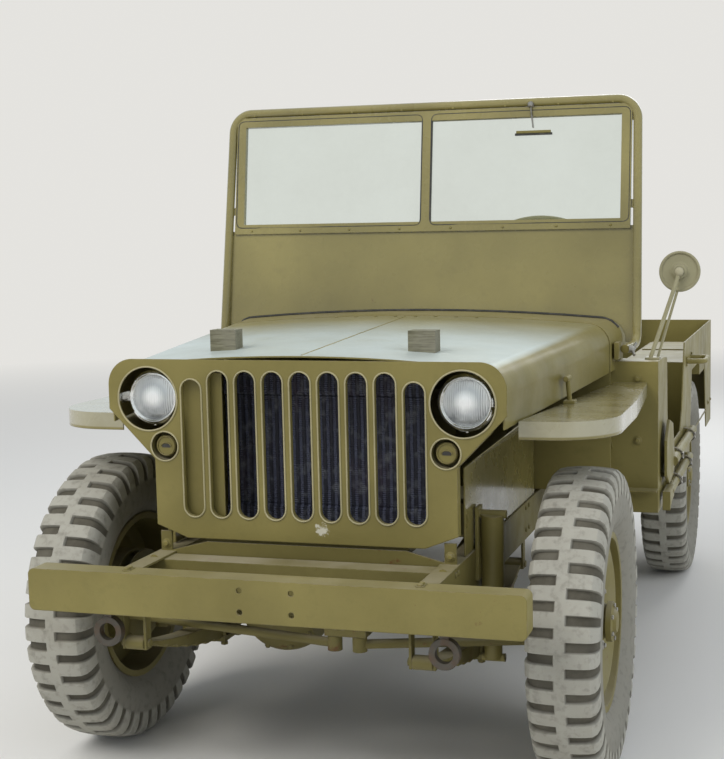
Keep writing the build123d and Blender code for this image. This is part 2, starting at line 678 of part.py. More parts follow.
def rail():
    """One frame rail: a channel that opens towards the middle of the car."""
    x1 = FRAME_HALF_WIDTH
    outer = box(x1 - RAIL_FLANGE, x1, RAIL_FRONT_Y, RAIL_REAR_Y, RAIL_Z, RAIL_Z + RAIL_HEIGHT)
    inner = box(x1 - RAIL_FLANGE - 1, x1 - RAIL_SHEET, RAIL_FRONT_Y - 1, RAIL_REAR_Y + 1,
                RAIL_Z + RAIL_SHEET, RAIL_Z + RAIL_HEIGHT - RAIL_SHEET)
    return outer - inner


def add_frame():
    members = both_sides(rail())
    half = FRAME_HALF_WIDTH - RAIL_SHEET
    # The front edge and the width along Y of each cross member
    cross_members = [(-330, 60), (450, 60), (1110, 80), (1580, 60), (RAIL_REAR_Y - 70, 70)]
    for y, width in cross_members:
        z0, z1 = RAIL_Z + RAIL_SHEET, RAIL_Z + RAIL_HEIGHT - RAIL_SHEET
        channel = box(-half, half, y, y + width, z0, z1)
        hollow = box(-half - 1, half + 1, y + RAIL_SHEET, y + width - RAIL_SHEET, z0 - 1, z1 - RAIL_SHEET)
        members.append(channel - hollow)
    members.append(nose_plate())
    foot_y = GRILLE_Y + GRILLE_SHEET
    members += both_sides(box(336, 364, foot_y, foot_y + 6, RAIL_TOP_Z - 20, GRILLE_STEP_Z - 16))
    pipe_room = rod((EXHAUST_X, 540, EXHAUST_Z), (EXHAUST_X, 1800, EXHAUST_Z), EXHAUST_RADIUS + 8)
    nodes["chassis_frame"] = fuse(*members) - pipe_room


def nose_plate():
    """The bowed sheet between the frame rails under the grille."""
    y = GRILLE_Y + GRILLE_SHEET
    side = [(352, 505), (245, 538), (0, 540)]
    top = [(245, 580), (352, 552)]
    points = [*side, *[(-x, z) for x, z in reversed(side[:-1])], *[(-x, z) for x, z in reversed(top)], *top]
    outline = make_face(Polyline(*points, close=True))
    return extrude(Plane.XZ.offset(-y) * outline, -6)


def front_bumper():
    """A pressed channel that opens backwards, on the ends of the frame rails."""
    x, z0, z1 = BUMPER_HALF_LENGTH, BUMPER_Z, BUMPER_Z + BUMPER_HEIGHT
    y0, y1 = BUMPER_FACE_Y, BUMPER_FACE_Y + BUMPER_DEPTH
    outline = Plane.XZ * Pos(0, (z0 + z1) / 2, 0) * RectangleRounded(2 * x, BUMPER_HEIGHT, 14)
    solid = Pos(0, y1, 0) * extrude(outline, BUMPER_DEPTH)
    hollow = box(-x + BUMPER_SHEET, x - BUMPER_SHEET, y0 + BUMPER_SHEET, y1 + 1,
                 z0 + BUMPER_SHEET, z1 - BUMPER_SHEET)
    middle = (z0 + z1) / 2
    bolts = []
    for rise in (BUMPER_BOLT_RISE, -BUMPER_BOLT_RISE):
        start, end = (BUMPER_BOLT_X, y0 - 1, middle + rise), (BUMPER_BOLT_X, y0 + 10, middle + rise)
        bolts += both_sides(rod(start, end, BUMPER_BOLT_RADIUS))
    return solid - hollow - bolts


def grille_slot(number, grow):
    """One slot's outline in X and Z, grown by a margin. The outermost slots stop below the headlamps."""
    x = (number - (SLOT_COUNT - 1) / 2) * SLOT_PITCH
    top_z = OUTER_SLOT_TOP_Z if number in (0, SLOT_COUNT - 1) else SLOT_TOP_Z
    height = top_z - SLOT_BOTTOM_Z + 2 * grow
    middle = (top_z + SLOT_BOTTOM_Z) / 2
    return Pos(x, middle) * SlotOverall(height, SLOT_WIDTH + 2 * grow, rotation=90)


def grille():
    """The pressed front panel. Its slots and its lower edges are turned back."""
    foot, low, half = GRILLE_FOOT_HALF_WIDTH, GRILLE_LOW_HALF_WIDTH, GRILLE_HALF_WIDTH
    side = [(foot, GRILLE_BOTTOM_Z), (low, GRILLE_STEP_Z), (low, GRILLE_WAIST_Z),
            (half, GRILLE_SHOULDER_Z), (half, GRILLE_TOP_Z)]
    outline = make_face(Polyline(*side, *[(-x, z) for x, z in reversed(side)], close=True))
    outline = fillet([v for v in outline.vertices() if v.Y > GRILLE_TOP_Z - 1], GRILLE_CORNER)
    edge = outline - offset(outline, -GRILLE_SHEET)
    flange_top = HOOD_FRONT_TOP_Z - HOOD_CROWN - HOOD_SIDE_DEPTH - PANEL_GAP
    below_hood = Pos(0, flange_top - 200) * Rectangle(2 * GRILLE_HALF_WIDTH, 400)
    holes, collars = [], []
    for number in range(SLOT_COUNT):
        holes.append(grille_slot(number, 0))
        collars.append(grille_slot(number, SLOT_COLLAR) - grille_slot(number, 0))
    for side_sign in (1, -1):
        holes.append(Pos(side_sign * HEADLAMP_X, HEADLAMP_Z) * Circle(HEADLAMP_HOLE_RADIUS))
        holes.append(Pos(side_sign * MARKER_X, MARKER_Z) * Circle(MARKER_HOLE_RADIUS))
    plane = Plane.XZ.offset(-GRILLE_Y)
    plate = extrude(plane * (outline - holes), -GRILLE_SHEET)
    rims = [extrude(plane * collar, -GRILLE_SHEET - SLOT_COLLAR_DEPTH) for collar in collars]
    flange = extrude(plane * (edge & below_hood), -GRILLE_EDGE_DEPTH)
    return fuse(plate, *rims, flange)


def radiator():
    """The core and its top and bottom tanks, with a baffle plate on the car's right."""
    y0, y1 = RADIATOR_Y, RADIATOR_Y + RADIATOR_DEPTH
    half = RADIATOR_HALF_WIDTH
    core = box(-half, half, y0 + 6, y1 - 6, RADIATOR_Z + 50, RADIATOR_TOP_Z - 60)
    bottom = box(-half, half, y0, y1, RADIATOR_Z, RADIATOR_Z + 50)
    top = box(-half, half, y0, y1, RADIATOR_TOP_Z - 60, RADIATOR_TOP_Z)
    tanks = fuse(*[fillet(tank.edges().filter_by(Axis.X), 12) for tank in (bottom, top)])
    neck = rod((0, (y0 + y1) / 2, RADIATOR_TOP_Z - 4), (0, (y0 + y1) / 2, RADIATOR_TOP_Z + 14), 24)
    return fuse(core, tanks, neck)


def radiator_baffle():
    """The sheet that closes the gap between the grille and the radiator on the car's right."""
    x1 = -RADIATOR_HALF_WIDTH - 1
    z0, z1 = RADIATOR_Z + 10, RADIATOR_TOP_Z + 8
    plate = box(BAFFLE_OUTER_X, BAFFLE_INNER_X, BAFFLE_Y, BAFFLE_Y + 3, z0, z1)
    side = box(BAFFLE_OUTER_X, BAFFLE_OUTER_X + 3, BAFFLE_Y, RADIATOR_Y + 30, z0, z1)
    tab = box(BAFFLE_OUTER_X, x1, RADIATOR_Y + 27, RADIATOR_Y + 30, z0, z1)
    return fuse(plate, side, tab)


def fender():
    """The left front fender: a flat top with a rolled edge, and an apron down beside the engine."""
    inner_front = hood_size(FENDER_FRONT_Y)[0] + PANEL_GAP
    inner_rear = hood_size(FENDER_REAR_Y)[0] + PANEL_GAP
    points = [(inner_front, FENDER_FRONT_Y), (FENDER_HALF_WIDTH, FENDER_FRONT_Y),
              (FENDER_HALF_WIDTH, FENDER_FRONT_Y + 420), (FENDER_REAR_HALF_WIDTH, FENDER_REAR_Y),
              (inner_rear, FENDER_REAR_Y)]
    outline = make_face(Polyline(*points, close=True))
    corner = outline.vertices().sort_by(lambda v: hypot(v.X - points[1][0], v.Y - points[1][1]))[0]
    outline = fillet([corner], FENDER_CORNER)
    solid = Pos(0, 0, FENDER_TOP_Z - FENDER_LIP) * extrude(outline, FENDER_LIP)
    inside = flat_plate([(inner_front - 300, FENDER_FRONT_Y + FENDER_SHEET),
                         (FENDER_HALF_WIDTH - FENDER_SHEET, FENDER_FRONT_Y + FENDER_SHEET),
                         (FENDER_HALF_WIDTH - FENDER_SHEET, FENDER_FRONT_Y + 420),
                         (FENDER_REAR_HALF_WIDTH - FENDER_SHEET, FENDER_REAR_Y + 50),
                         (inner_rear - 300, FENDER_REAR_Y + 50)],
                        FENDER_TOP_Z - FENDER_LIP - 1, FENDER_TOP_Z - FENDER_SHEET)
    vertical = [e for e in inside.edges().filter_by(Axis.Z)
                if hypot(e.center().X - FENDER_HALF_WIDTH, e.center().Y - FENDER_FRONT_Y) < 20]
    inside = fillet(vertical, FENDER_CORNER - FENDER_SHEET)
    cap = solid - inside
    apron_rear = FIREWALL_Y - PANEL_GAP
    knee_z = FENDER_TOP_Z - 110
    top_front, top_rear = inner_front + APRON_GAP, inner_rear + APRON_GAP
    wall = side_plate([(FENDER_FRONT_Y, RAIL_TOP_Z + 2), (apron_rear, RAIL_TOP_Z + 2), (apron_rear, knee_z),
                       (FENDER_FRONT_Y, knee_z)], APRON_X, APRON_X + FENDER_SHEET)
    apron = loft([
        Pos(0, 0, FENDER_TOP_Z - 1) * make_face(Polyline(
            (top_front, FENDER_FRONT_Y), (top_front + FENDER_SHEET, FENDER_FRONT_Y),
            (top_rear + FENDER_SHEET, apron_rear), (top_rear, apron_rear), close=True)),
        Pos(0, 0, knee_z) * make_face(Polyline(
            (APRON_X, FENDER_FRONT_Y), (APRON_X + FENDER_SHEET, FENDER_FRONT_Y),
            (APRON_X + FENDER_SHEET, apron_rear), (APRON_X, apron_rear), close=True))], ruled=True)
    return fuse(cap, apron, wall)


def tub():
    """The open body: floor, sides, wheelhouses, rear panel, firewall and cowl."""
    w, t = BODY_HALF_WIDTH, BODY_SHEET
    arch_front, arch_rear = REAR_AXLE_Y - ARCH_HALF_WIDTH, REAR_AXLE_Y + ARCH_HALF_WIDTH
    side_points = [
        (COWL_SIDE_Y, SILL_Z), (arch_front, SILL_Z), (arch_front + 90, ARCH_TOP_Z),
        (arch_rear - 130, ARCH_TOP_Z), (arch_rear - 20, SILL_Z), (TUB_REAR_Y, SILL_Z),
        (TUB_REAR_Y, SIDE_TOP_Z), (DOOR_REAR_Y + 30, SIDE_TOP_Z), (DOOR_REAR_Y - 60, DOOR_SILL_Z + 60),
        (DOOR_REAR_Y - 120, DOOR_SILL_Z), (DOOR_FRONT_Y + 60, DOOR_SILL_Z),
        (DOOR_FRONT_Y, DOOR_SILL_Z + 60), (DOOR_FRONT_Y - 20, SIDE_TOP_Z),
        (WINDSHIELD_Y + 30, SIDE_TOP_Z + 10), (COWL_SIDE_Y, SIDE_TOP_Z + 10)]
    sides = both_sides(side_plate(side_points, w - t, w))
    floor = box(-w, w, FIREWALL_Y, TUB_REAR_Y, FLOOR_Z, FLOOR_Z + t)
    rear = box(-w, w, TUB_REAR_Y - t, TUB_REAR_Y, REAR_PANEL_Z, SIDE_TOP_Z)
    y0, y1 = REAR_AXLE_Y - WHEELHOUSE_HALF_LENGTH, REAR_AXLE_Y + WHEELHOUSE_HALF_LENGTH
    inner = w - WHEELHOUSE_WIDTH
    well = box(inner, w - t / 2, y0, y1, FLOOR_Z, WHEELHOUSE_TOP_Z)
    well_hollow = box(inner + t, w, y0 + t, y1 - t, FLOOR_Z - 1, WHEELHOUSE_TOP_Z - t)
    well_opening = box(inner + t, w - t, y0 + t, y1 - t, FLOOR_Z - 1, FLOOR_Z + t + 1)
    wells = both_sides(well - well_hollow)
    half, top = hood_size(FIREWALL_Y)
    firewall = Pos(0, FIREWALL_Y + t, 0) * extrude(
        hood_outline(half, top, HOOD_SIDE_DEPTH), t)
    firewall_low = box(-half, half, FIREWALL_Y, FIREWALL_Y + t, FLOOR_Z, top - HOOD_CROWN - HOOD_SIDE_DEPTH)
    cowl = hood_shell(FIREWALL_Y, COWL_REAR_Y)
    half_rear = hood_size(COWL_REAR_Y)[0]
    shelf = flat_plate([(half_rear - 2, COWL_SIDE_Y), (w, COWL_SIDE_Y), (w, WINDSHIELD_Y - 14),
                        (half_rear - 2, WINDSHIELD_Y - 14)], SIDE_TOP_Z + 10 - t, SIDE_TOP_Z + 10)
    face = box(half - 30, w, COWL_SIDE_Y, COWL_SIDE_Y + t, SILL_Z, SIDE_TOP_Z + 10)
    inside_face = box(half - 34, half - 30, FIREWALL_Y, COWL_SIDE_Y + t, FLOOR_Z, SIDE_TOP_Z)
    toe = side_plate([(FIREWALL_Y, FLOOR_Z + 160), (FIREWALL_Y + t, FLOOR_Z + 160),
                      (FIREWALL_Y + 164, FLOOR_Z), (FIREWALL_Y + 158, FLOOR_Z)], -half, half)
    shell = fuse(*sides, floor, rear, *wells, firewall, firewall_low, cowl, toe,
                 *both_sides(shelf), *both_sides(face), *both_sides(inside_face))
    column_hole = steering_axis() * Cylinder(COLUMN_RADIUS + 8, 2000)
    whole = fuse(shell - both_sides(well_opening), *both_sides(locker_pan()))
    return whole - column_hole - both_sides(locker_opening())


def locker_pan():
    """The tool box in the rear of a wheelhouse, above the wheel."""
    x0, x1 = BODY_HALF_WIDTH - WHEELHOUSE_WIDTH + 2, BODY_HALF_WIDTH - 2
    y1 = REAR_AXLE_Y + WHEELHOUSE_HALF_LENGTH - 22
    y0 = y1 - LOCKER_LID_LENGTH - 16
    pan = box(x0, x1, y0, y1, LOCKER_FLOOR_Z, WHEELHOUSE_TOP_Z - 2)
    hollow = box(x0 + 4, x1 - 4, y0 + 4, y1 - 4, LOCKER_FLOOR_Z + 4, WHEELHOUSE_TOP_Z)
    return pan - hollow


def locker_opening():
    """The cut in a wheelhouse's top over its rear tool box."""
    x0 = BODY_HALF_WIDTH - WHEELHOUSE_WIDTH + 20
    y1 = REAR_AXLE_Y + WHEELHOUSE_HALF_LENGTH - 30
    return box(x0, BODY_HALF_WIDTH - 30, y1 - LOCKER_LID_LENGTH, y1,
               WHEELHOUSE_TOP_Z - 20, WHEELHOUSE_TOP_Z + 1)


def windshield_plane():
    """A plane in the windshield, X across the car, Y up the glass, origin at its lower edge."""
    lean = radians(WINDSHIELD_LEAN)
    return Plane(origin=(0, WINDSHIELD_Y, WINDSHIELD_BOTTOM_Z), x_dir=(1, 0, 0),
                 z_dir=(0, -cos(lean), sin(lean)))


def windshield_height():
    return (WINDSHIELD_TOP_Z - WINDSHIELD_BOTTOM_Z) / cos(radians(WINDSHIELD_LEAN))


def windshield_frame():
    """The tube hoop with its forward feet, the sheet below the glass and the glass frame."""
    r = WINDSHIELD_TUBE_RADIUS
    x, top = WINDSHIELD_HALF_WIDTH - r, windshield_height() - r
    base = windshield_plane()
    upper = [base.from_local_coords(Vector(px, py, 0)) for px, py in ((-x, 0), (-x, top), (x, top), (x, 0))]
    foot_x = WINDSHIELD_PIVOT_X
    low_z = WINDSHIELD_PIVOT_Z
    right = [(-foot_x, WINDSHIELD_PIVOT_Y, low_z), (-x - HOOP_BULGE, WINDSHIELD_Y - 22, low_z + 8),
             (-x - HOOP_BULGE, WINDSHIELD_Y - 10, low_z + 74)]
    left = [(-px, py, pz) for px, py, pz in reversed(right)]
    points = [Vector(*p) for p in right] + upper[1:3] + [Vector(*p) for p in left]
    path = FilletPolyline(*points, radius=[36, 40, 60, 60, 40, 36])
    hoop = sweep(Plane(origin=path @ 0, z_dir=path % 0) * Circle(r), path=path)
    sheet = base * (Pos(0, GLASS_FRAME_BOTTOM / 2 - 30, 0) * Box(2 * x, GLASS_FRAME_BOTTOM + 80, 3))
    half, crown_z = hood_size(COWL_REAR_Y)
    cowl_space = extrude(hood_outline(half + SHEET_SIDE_GAP, crown_z - SHEET_LAP, 300), 200, both=True)
    sheet = sheet - Pos(0, WINDSHIELD_Y, 0) * cowl_space
    bar, depth = GLASS_FRAME_BAR, GLASS_FRAME_DEPTH
    inner_half = x - r - 2
    frame_height = top - r - 2 - GLASS_FRAME_BOTTOM
    outer = Pos(0, GLASS_FRAME_BOTTOM + frame_height / 2, 0) * Box(2 * inner_half, frame_height, depth)
    pane = inner_half - 1.5 * bar
    openings = [Pos(side * (pane / 2 + bar / 2), GLASS_FRAME_BOTTOM + frame_height / 2, 0)
                * Box(pane, frame_height - 2 * bar, depth + 2) for side in (1, -1)]
    glass_frame = outer - openings
    links = [Pos(side * (x - r / 2 - 2), GLASS_FRAME_BOTTOM + frame_height * share, 0) * Box(2 * r, 24, 8)
             for side in (1, -1) for share in (0.2, 0.9)]
    return fuse(hoop, sheet, base * fuse(glass_frame, *links))


def windshield_glass():
    r = WINDSHIELD_TUBE_RADIUS
    x, top = WINDSHIELD_HALF_WIDTH - r, windshield_height() - r
    inner_half = x - r - 2
    bar = GLASS_FRAME_BAR
    frame_height = top - r - 2 - GLASS_FRAME_BOTTOM
    pane = inner_half - 1.5 * bar
    panes = [Pos(side * (pane / 2 + bar / 2), GLASS_FRAME_BOTTOM + frame_height / 2, 0)
             * Box(pane, frame_height - 2 * bar, GLASS_THICKNESS) for side in (1, -1)]
    return Compound(children=[windshield_plane() * pane for pane in panes])


def steering_wheel():
    ring = Torus(STEERING_WHEEL_RADIUS - STEERING_RIM_RADIUS, STEERING_RIM_RADIUS)
    boss = Pos(0, 0, -18) * Cylinder(34, 40)
    spokes = [Rot(0, 0, 90 + 120 * number) * Pos(STEERING_WHEEL_RADIUS / 2, 0, -6)
              * Box(STEERING_WHEEL_RADIUS - 30, 22, 6) for number in range(3)]
    return steering_axis() * fuse(ring, boss, *spokes)


def steering_column():
    reach = STEERING_BOX_REACH - 110
    bar = Cylinder(COLUMN_RADIUS, reach, align=(Align.CENTER, Align.CENTER, Align.MAX))
    return steering_axis() * (Pos(0, 0, -38 - CLEARANCE) * bar)


def seat_cushion(x):
    low = box(x - SEAT_WIDTH / 2, x + SEAT_WIDTH / 2, SEAT_FRONT_Y, SEAT_FRONT_Y + SEAT_DEPTH,
              CUSHION_Z, CUSHION_Z + CUSHION_HEIGHT)
    back = Pos(x, SEAT_FRONT_Y + SEAT_DEPTH + 10, CUSHION_Z + CUSHION_HEIGHT + 10) * (
        Rot(-BACKREST_LEAN, 0, 0) * Box(SEAT_WIDTH, BACKREST_THICKNESS, BACKREST_HEIGHT,
                                       align=(Align.CENTER, Align.MIN, Align.MIN)))
    return [fillet(low.edges(), 18), fillet(back.edges(), 18)]


def seat_frame(x):
    """The bent tube legs, the seat ring and the upright hoop behind the backrest of one front seat."""
    r = SEAT_TUBE_RADIUS
    low, z = FLOOR_Z + BODY_SHEET + CLEARANCE, CUSHION_Z - CLEARANCE - r
    y0, y1 = SEAT_FRONT_Y + 10, SEAT_FRONT_Y + SEAT_DEPTH - 20
    half = SEAT_WIDTH / 2 - 30
    pieces = [along_x(x - half, x + half, y, z, r) for y in (y0 + 60, y1 - 60)]
    for leg_x in (x - half, x + half):
        corners = [(leg_x, y0, low + r), (leg_x, y0, z), (leg_x, y1, z), (leg_x, y1, low)]
        pieces.append(bent_tube(corners, r, 36))
        pieces.append(along_x(leg_x - 18, leg_x + 18, y0, low + r, r))
        pieces.append(box(leg_x - 24, leg_x + 24, y1 - 24, y1 + 24, low, low + 6))
    return fuse(*pieces)


def add_seats():
    for name, x in (("driver_seat", SEAT_X), ("passenger_seat", -SEAT_X)):
        nodes[name + "_cushions"] = Compound(children=seat_cushion(x))
        nodes[name + "_frame"] = seat_frame(x)


def dashboard():
    """The panel under the cowl's rear edge, with the glove box behind it on the right."""
    half, top = hood_size(COWL_REAR_Y)
    wall = HOOD_SHEET + 1
    outline = hood_outline(half - wall, top - wall, HOOD_SIDE_DEPTH + 40)
    face = Pos(0, COWL_REAR_Y, 0) * extrude(outline, BODY_SHEET)
    column_hole = steering_axis() * Cylinder(COLUMN_RADIUS + 8, 2000)
    x0, x1 = -SEAT_X - GLOVE_LID_WIDTH / 2, -SEAT_X + GLOVE_LID_WIDTH / 2
    z0, z1 = GLOVE_LID_Z, GLOVE_LID_Z + GLOVE_LID_HEIGHT
    hole = box(x0, x1, COWL_REAR_Y - 20, COWL_REAR_Y + 1, z0, z1)
    case = box(x0 - 3, x1 + 3, COWL_REAR_Y - 110, COWL_REAR_Y - 2, z0 - 3, z1 + 3)
    inside = box(x0, x1, COWL_REAR_Y - 107, COWL_REAR_Y + 1, z0, z1)
    return fuse(face, case) - hole - inside - column_hole


def glove_box_lid():
    x0, x1 = -SEAT_X - GLOVE_LID_WIDTH / 2 - 8, -SEAT_X + GLOVE_LID_WIDTH / 2 + 8
    top_z = GLOVE_LID_Z + GLOVE_LID_HEIGHT
    lid = box(x0, x1, COWL_REAR_Y + CLEARANCE, COWL_REAR_Y + 5, GLOVE_LID_Z - 8, top_z + 8)
    knob = rod((-SEAT_X, COWL_REAR_Y + 4, top_z - 16), (-SEAT_X, COWL_REAR_Y + 18, top_z - 16), 9)
    return fuse(lid, knob)


def locker_lid():
    """The left tool box lid, hinged along its outer edge."""
    x0 = BODY_HALF_WIDTH - WHEELHOUSE_WIDTH + 12
    y1 = REAR_AXLE_Y + WHEELHOUSE_HALF_LENGTH - 22
    z = WHEELHOUSE_TOP_Z + CLEARANCE
    lid = box(x0, BODY_HALF_WIDTH - 22, y1 - LOCKER_LID_LENGTH - 16, y1, z, z + 4)
    pin_x = BODY_HALF_WIDTH - 20
    knuckle_bar = rod((pin_x, y1 - LOCKER_LID_LENGTH, z + 6), (pin_x, y1 - 16, z + 6), 5)
    return fuse(lid, knuckle_bar)


def pedals_and_levers():
    """Three pedals on their arms and the gear, transfer and hand brake levers."""
    floor_top = FLOOR_Z + BODY_SHEET + 8
    # X, Y at the floor, Y and Z of the pad, pad width
    pedals = [(420, 790, 860, 690, 60), (300, 790, 860, 690, 60), (225, 770, 800, 660, 50)]
    # X, Y at the floor, Y and Z of the knob, knob radius
    levers = [(0, 930, 990, 900, 19), (-40, 1000, 1030, 820, 15), (-80, 1000, 1030, 820, 15)]
    pieces = []
    for x, y, pad_y, pad_z, width in pedals:
        arm = rod((x, y, floor_top), (x, pad_y, pad_z), 7)
        pad = Pos(x, pad_y, pad_z) * Rot(-35, 0, 0) * Box(width, 8, 70)
        pieces.append(fuse(arm, pad))
    for x, y, top_y, top_z, ball in levers:
        lever = rod((x, y, floor_top), (x, top_y, top_z), 7)
        pieces.append(fuse(lever, Pos(x, top_y, top_z) * Sphere(ball)))
    return Compound(children=pieces)


def headlamps():
    """The two lamp buckets with their bezels, each on a bracket at the grille's outer edge."""
    r, y = HEADLAMP_RADIUS, GRILLE_Y + HEADLAMP_SETBACK
    inner = r - HEADLAMP_BEZEL
    bezel = [(inner, 14), (inner, 8), (inner + 2, 4), (inner + 5, 1), (inner + 8, 0), (r - 3, 2), (r, 8)]
    shell = [(r, 24), (r - 6, 30), (r * 0.6, HEADLAMP_DEPTH), (0, HEADLAMP_DEPTH), (0, 14)]
    bucket = Pos(HEADLAMP_X, y, HEADLAMP_Z) * revolve(make_face(Polyline(*bezel, *shell, close=True)), Axis.Y)
    x0, x1 = HEADLAMP_X + HEADLAMP_HOLE_RADIUS, HEADLAMP_X + HEADLAMP_HOLE_RADIUS + 9
    arm = box(HEADLAMP_X + r * 0.6, x1, y + 22, y + 30, HEADLAMP_Z - 12, HEADLAMP_Z + 12)
    post = box(x0, x1, GRILLE_Y + GRILLE_SHEET, y + 30, HEADLAMP_Z - 12, HEADLAMP_Z + 12)
    return Compound(children=both_sides(fuse(bucket, arm, post)))


def headlamp_lenses():
    """The domed glasses of the headlamps."""
    r, y = HEADLAMP_RADIUS - HEADLAMP_BEZEL - CLEARANCE, GRILLE_Y + HEADLAMP_SETBACK
    bulge, back = 3, 13.6
    dome = (r ** 2 + (8 + bulge) ** 2) / (2 * (8 + bulge))
    disc = rod((HEADLAMP_X, y - bulge - 1, HEADLAMP_Z), (HEADLAMP_X, y + back, HEADLAMP_Z), r)
    lens = disc & (Pos(HEADLAMP_X, y - bulge + dome, HEADLAMP_Z) * Sphere(dome))
    return Compound(children=both_sides(lens))


def marker_lamps():
    """The two small blackout lamps beside the slots, each on a stem from the grille."""
    r, y = MARKER_RADIUS, GRILLE_Y + GRILLE_SHEET + 4
    x0, x1 = MARKER_X + MARKER_HOLE_RADIUS + 1, MARKER_X + MARKER_HOLE_RADIUS + 6
    lamp = rod((MARKER_X, y, MARKER_Z), (MARKER_X, y + 50, MARKER_Z), r)
    arm = box(MARKER_X, x1, y + 36, y + 44, MARKER_Z - 9, MARKER_Z + 9)
    post = box(x0, x1, GRILLE_Y + GRILLE_SHEET, y + 44, MARKER_Z - 9, MARKER_Z + 9)
    return both_sides(fuse(lamp, arm, post))


def tail_lamps():
    start = (TAIL_LAMP_X, TUB_REAR_Y, TAIL_LAMP_Z)
    return both_sides(rod(start, (TAIL_LAMP_X, TUB_REAR_Y + 46, TAIL_LAMP_Z), TAIL_LAMP_RADIUS))


def mirror_and_arm():
    """The round mirror with its rolled rim and boss, on two rods from the cowl's side."""
    r = MIRROR_RADIUS
    back = [(0, -13), (16, -13), (21, -11), (22, -4), (28, -2), (r - 9, -2), (r - 7, -5), (r - 4, -6)]
    front = [(r, -4), (r, 5), (r - 5, 6), (r - 5, 3), (0, 3)]
    profile = make_face(Polyline(*back, *front, close=True))
    plate = Pos(MIRROR_X, MIRROR_Y, MIRROR_Z) * revolve(profile, Axis.Y)
    foot_z = SIDE_TOP_Z + 10
    boss_y = MIRROR_Y - 12
    arm_foot, stay_foot = BODY_HALF_WIDTH - 30, BODY_HALF_WIDTH - 12
    arm = bent_tube([(arm_foot, MIRROR_Y - 30, foot_z + 4), (MIRROR_X - 12, boss_y - 14, MIRROR_Z - 44),
                     (MIRROR_X, boss_y, MIRROR_Z)], 6, 14)
    stay = rod((stay_foot, MIRROR_Y - 4, foot_z + 4), (MIRROR_X - 6, MIRROR_Y + 1, MIRROR_Z - r + 6), 4)
    foot = box(BODY_HALF_WIDTH - 44, BODY_HALF_WIDTH - 4, MIRROR_Y - 42, MIRROR_Y + 6, foot_z, foot_z + 6)
    return fuse(plate, arm, stay, foot)


def grab_handle(y):
    """A bent bar on the body's left side."""
    x, z, r = BODY_HALF_WIDTH, SIDE_TOP_Z - 70, HANDLE_RADIUS
    out = x + HANDLE_REACH - r
    path = FilletPolyline((x, y - 80, z), (out, y - 80, z), (out, y + 80, z), (x, y + 80, z), radius=26)
    return sweep(Plane(origin=path @ 0, z_dir=path % 0) * Circle(r), path=path)


def grab_handles():
    return both_sides(grab_handle(DOOR_REAR_Y + 180))


def shovel_and_axe():
    """The pioneer tools strapped to the body's left side below the door, heads to the front."""
    x = BODY_HALF_WIDTH + 18
    handle = rod((x, 890, SHOVEL_Z), (x, 1560, SHOVEL_Z), 15)
    blade_points = [(690, 600), (690, 700), (760, 752), (860, 728), (905, SHOVEL_Z + 18),
                    (905, SHOVEL_Z - 18), (860, 574), (760, 566)]
    blade = side_plate(blade_points, x - 5, x + 3)
    haft = rod((x, 780, AXE_Z), (x, 1420, AXE_Z), 14)
    head = side_plate([(690, AXE_Z - 40), (690, AXE_Z + 14), (800, AXE_Z + 16), (800, AXE_Z - 16),
                       (740, AXE_Z - 20)], x - 10, x + 12)
    shovel_clamps = [box(BODY_HALF_WIDTH, x, y - 12, y + 12, SHOVEL_Z - 18, SHOVEL_Z + 18)
                     for y in (1000, 1480)]
    axe_clamps = [box(BODY_HALF_WIDTH, x, y - 12, y + 12, AXE_Z - 17, AXE_Z + 17) for y in (860, 1380)]
    return Compound(children=[fuse(handle, blade, *shovel_clamps), fuse(haft, head, *axe_clamps)])


def rear_seat():
    """The folding bench: its frame and cushion, and the backrest that folds down onto it."""
    floor_top = FLOOR_Z + BODY_SHEET + CLEARANCE
    half, y0, y1 = REAR_SEAT_WIDTH / 2, REAR_SEAT_Y, REAR_SEAT_Y + REAR_SEAT_DEPTH
    z = CUSHION_Z - 20
    cushion = fillet(box(-half, half, y0, y1, z, z + 80).edges(), 16)
    r = SEAT_TUBE_RADIUS
    rails = [along_x(-half + 40, half - 40, y, z - CLEARANCE - r, r) for y in (y0 + 30, y1 - 30)]
    legs = [rod((side * (half - 60), y, floor_top), (side * (half - 60), y, z - CLEARANCE - r), r)
            for side in (1, -1) for y in (y0 + 30, y1 - 30)]
    low = z - CLEARANCE - r
    sills = [box(side * (half - 60) - 8, side * (half - 60) + 8, y0 + 30, y1 + 48, low - 8, low + 8)
             for side in (1, -1)]
    posts = [box(side * (half - 60) - 8, side * (half - 60) + 8, y1 + 32, y1 + 48, low - 8, z + 40)
             for side in (1, -1)]
    frame = fuse(*rails, *legs, *sills, *posts)
    slab = Box(2 * half, 60, 300, align=(Align.CENTER, Align.MIN, Align.MIN))
    back = fillet((Pos(0, y1 + 60, z + 100) * Rot(-12, 0, 0) * slab).edges(), 16)
    return frame, cushion, back


def spare_carrier():
    """The bracket on the rear panel that the spare wheel is bolted to."""
    y0, y1 = TUB_REAR_Y, TUB_REAR_Y + SPARE_GAP + TYRE_WIDTH / 2 + 12
    plate = box(SPARE_X - 90, SPARE_X + 90, y0, y0 + 6, SPARE_Z - 110, SPARE_Z + 80)
    barrel = rod((SPARE_X, y0, SPARE_Z), (SPARE_X, y1 - CLEARANCE, SPARE_Z), 62)
    return fuse(plate, barrel)


def tow_pintle():
    """The towing hook on the rear cross member."""
    y = RAIL_REAR_Y
    z = RAIL_Z + RAIL_HEIGHT / 2
    plate = box(-50, 50, y, y + 10, z - 45, z + 45)
    jaw = side_plate([(y + 10, z - 30), (y + 90, z - 34), (y + 110, z - 10), (y + 100, z + 12),
                      (y + 84, z - 4), (y + 60, z - 8), (y + 44, z + 10), (y + 10, z + 24)], -16, 16)
    return fuse(plate, jaw)


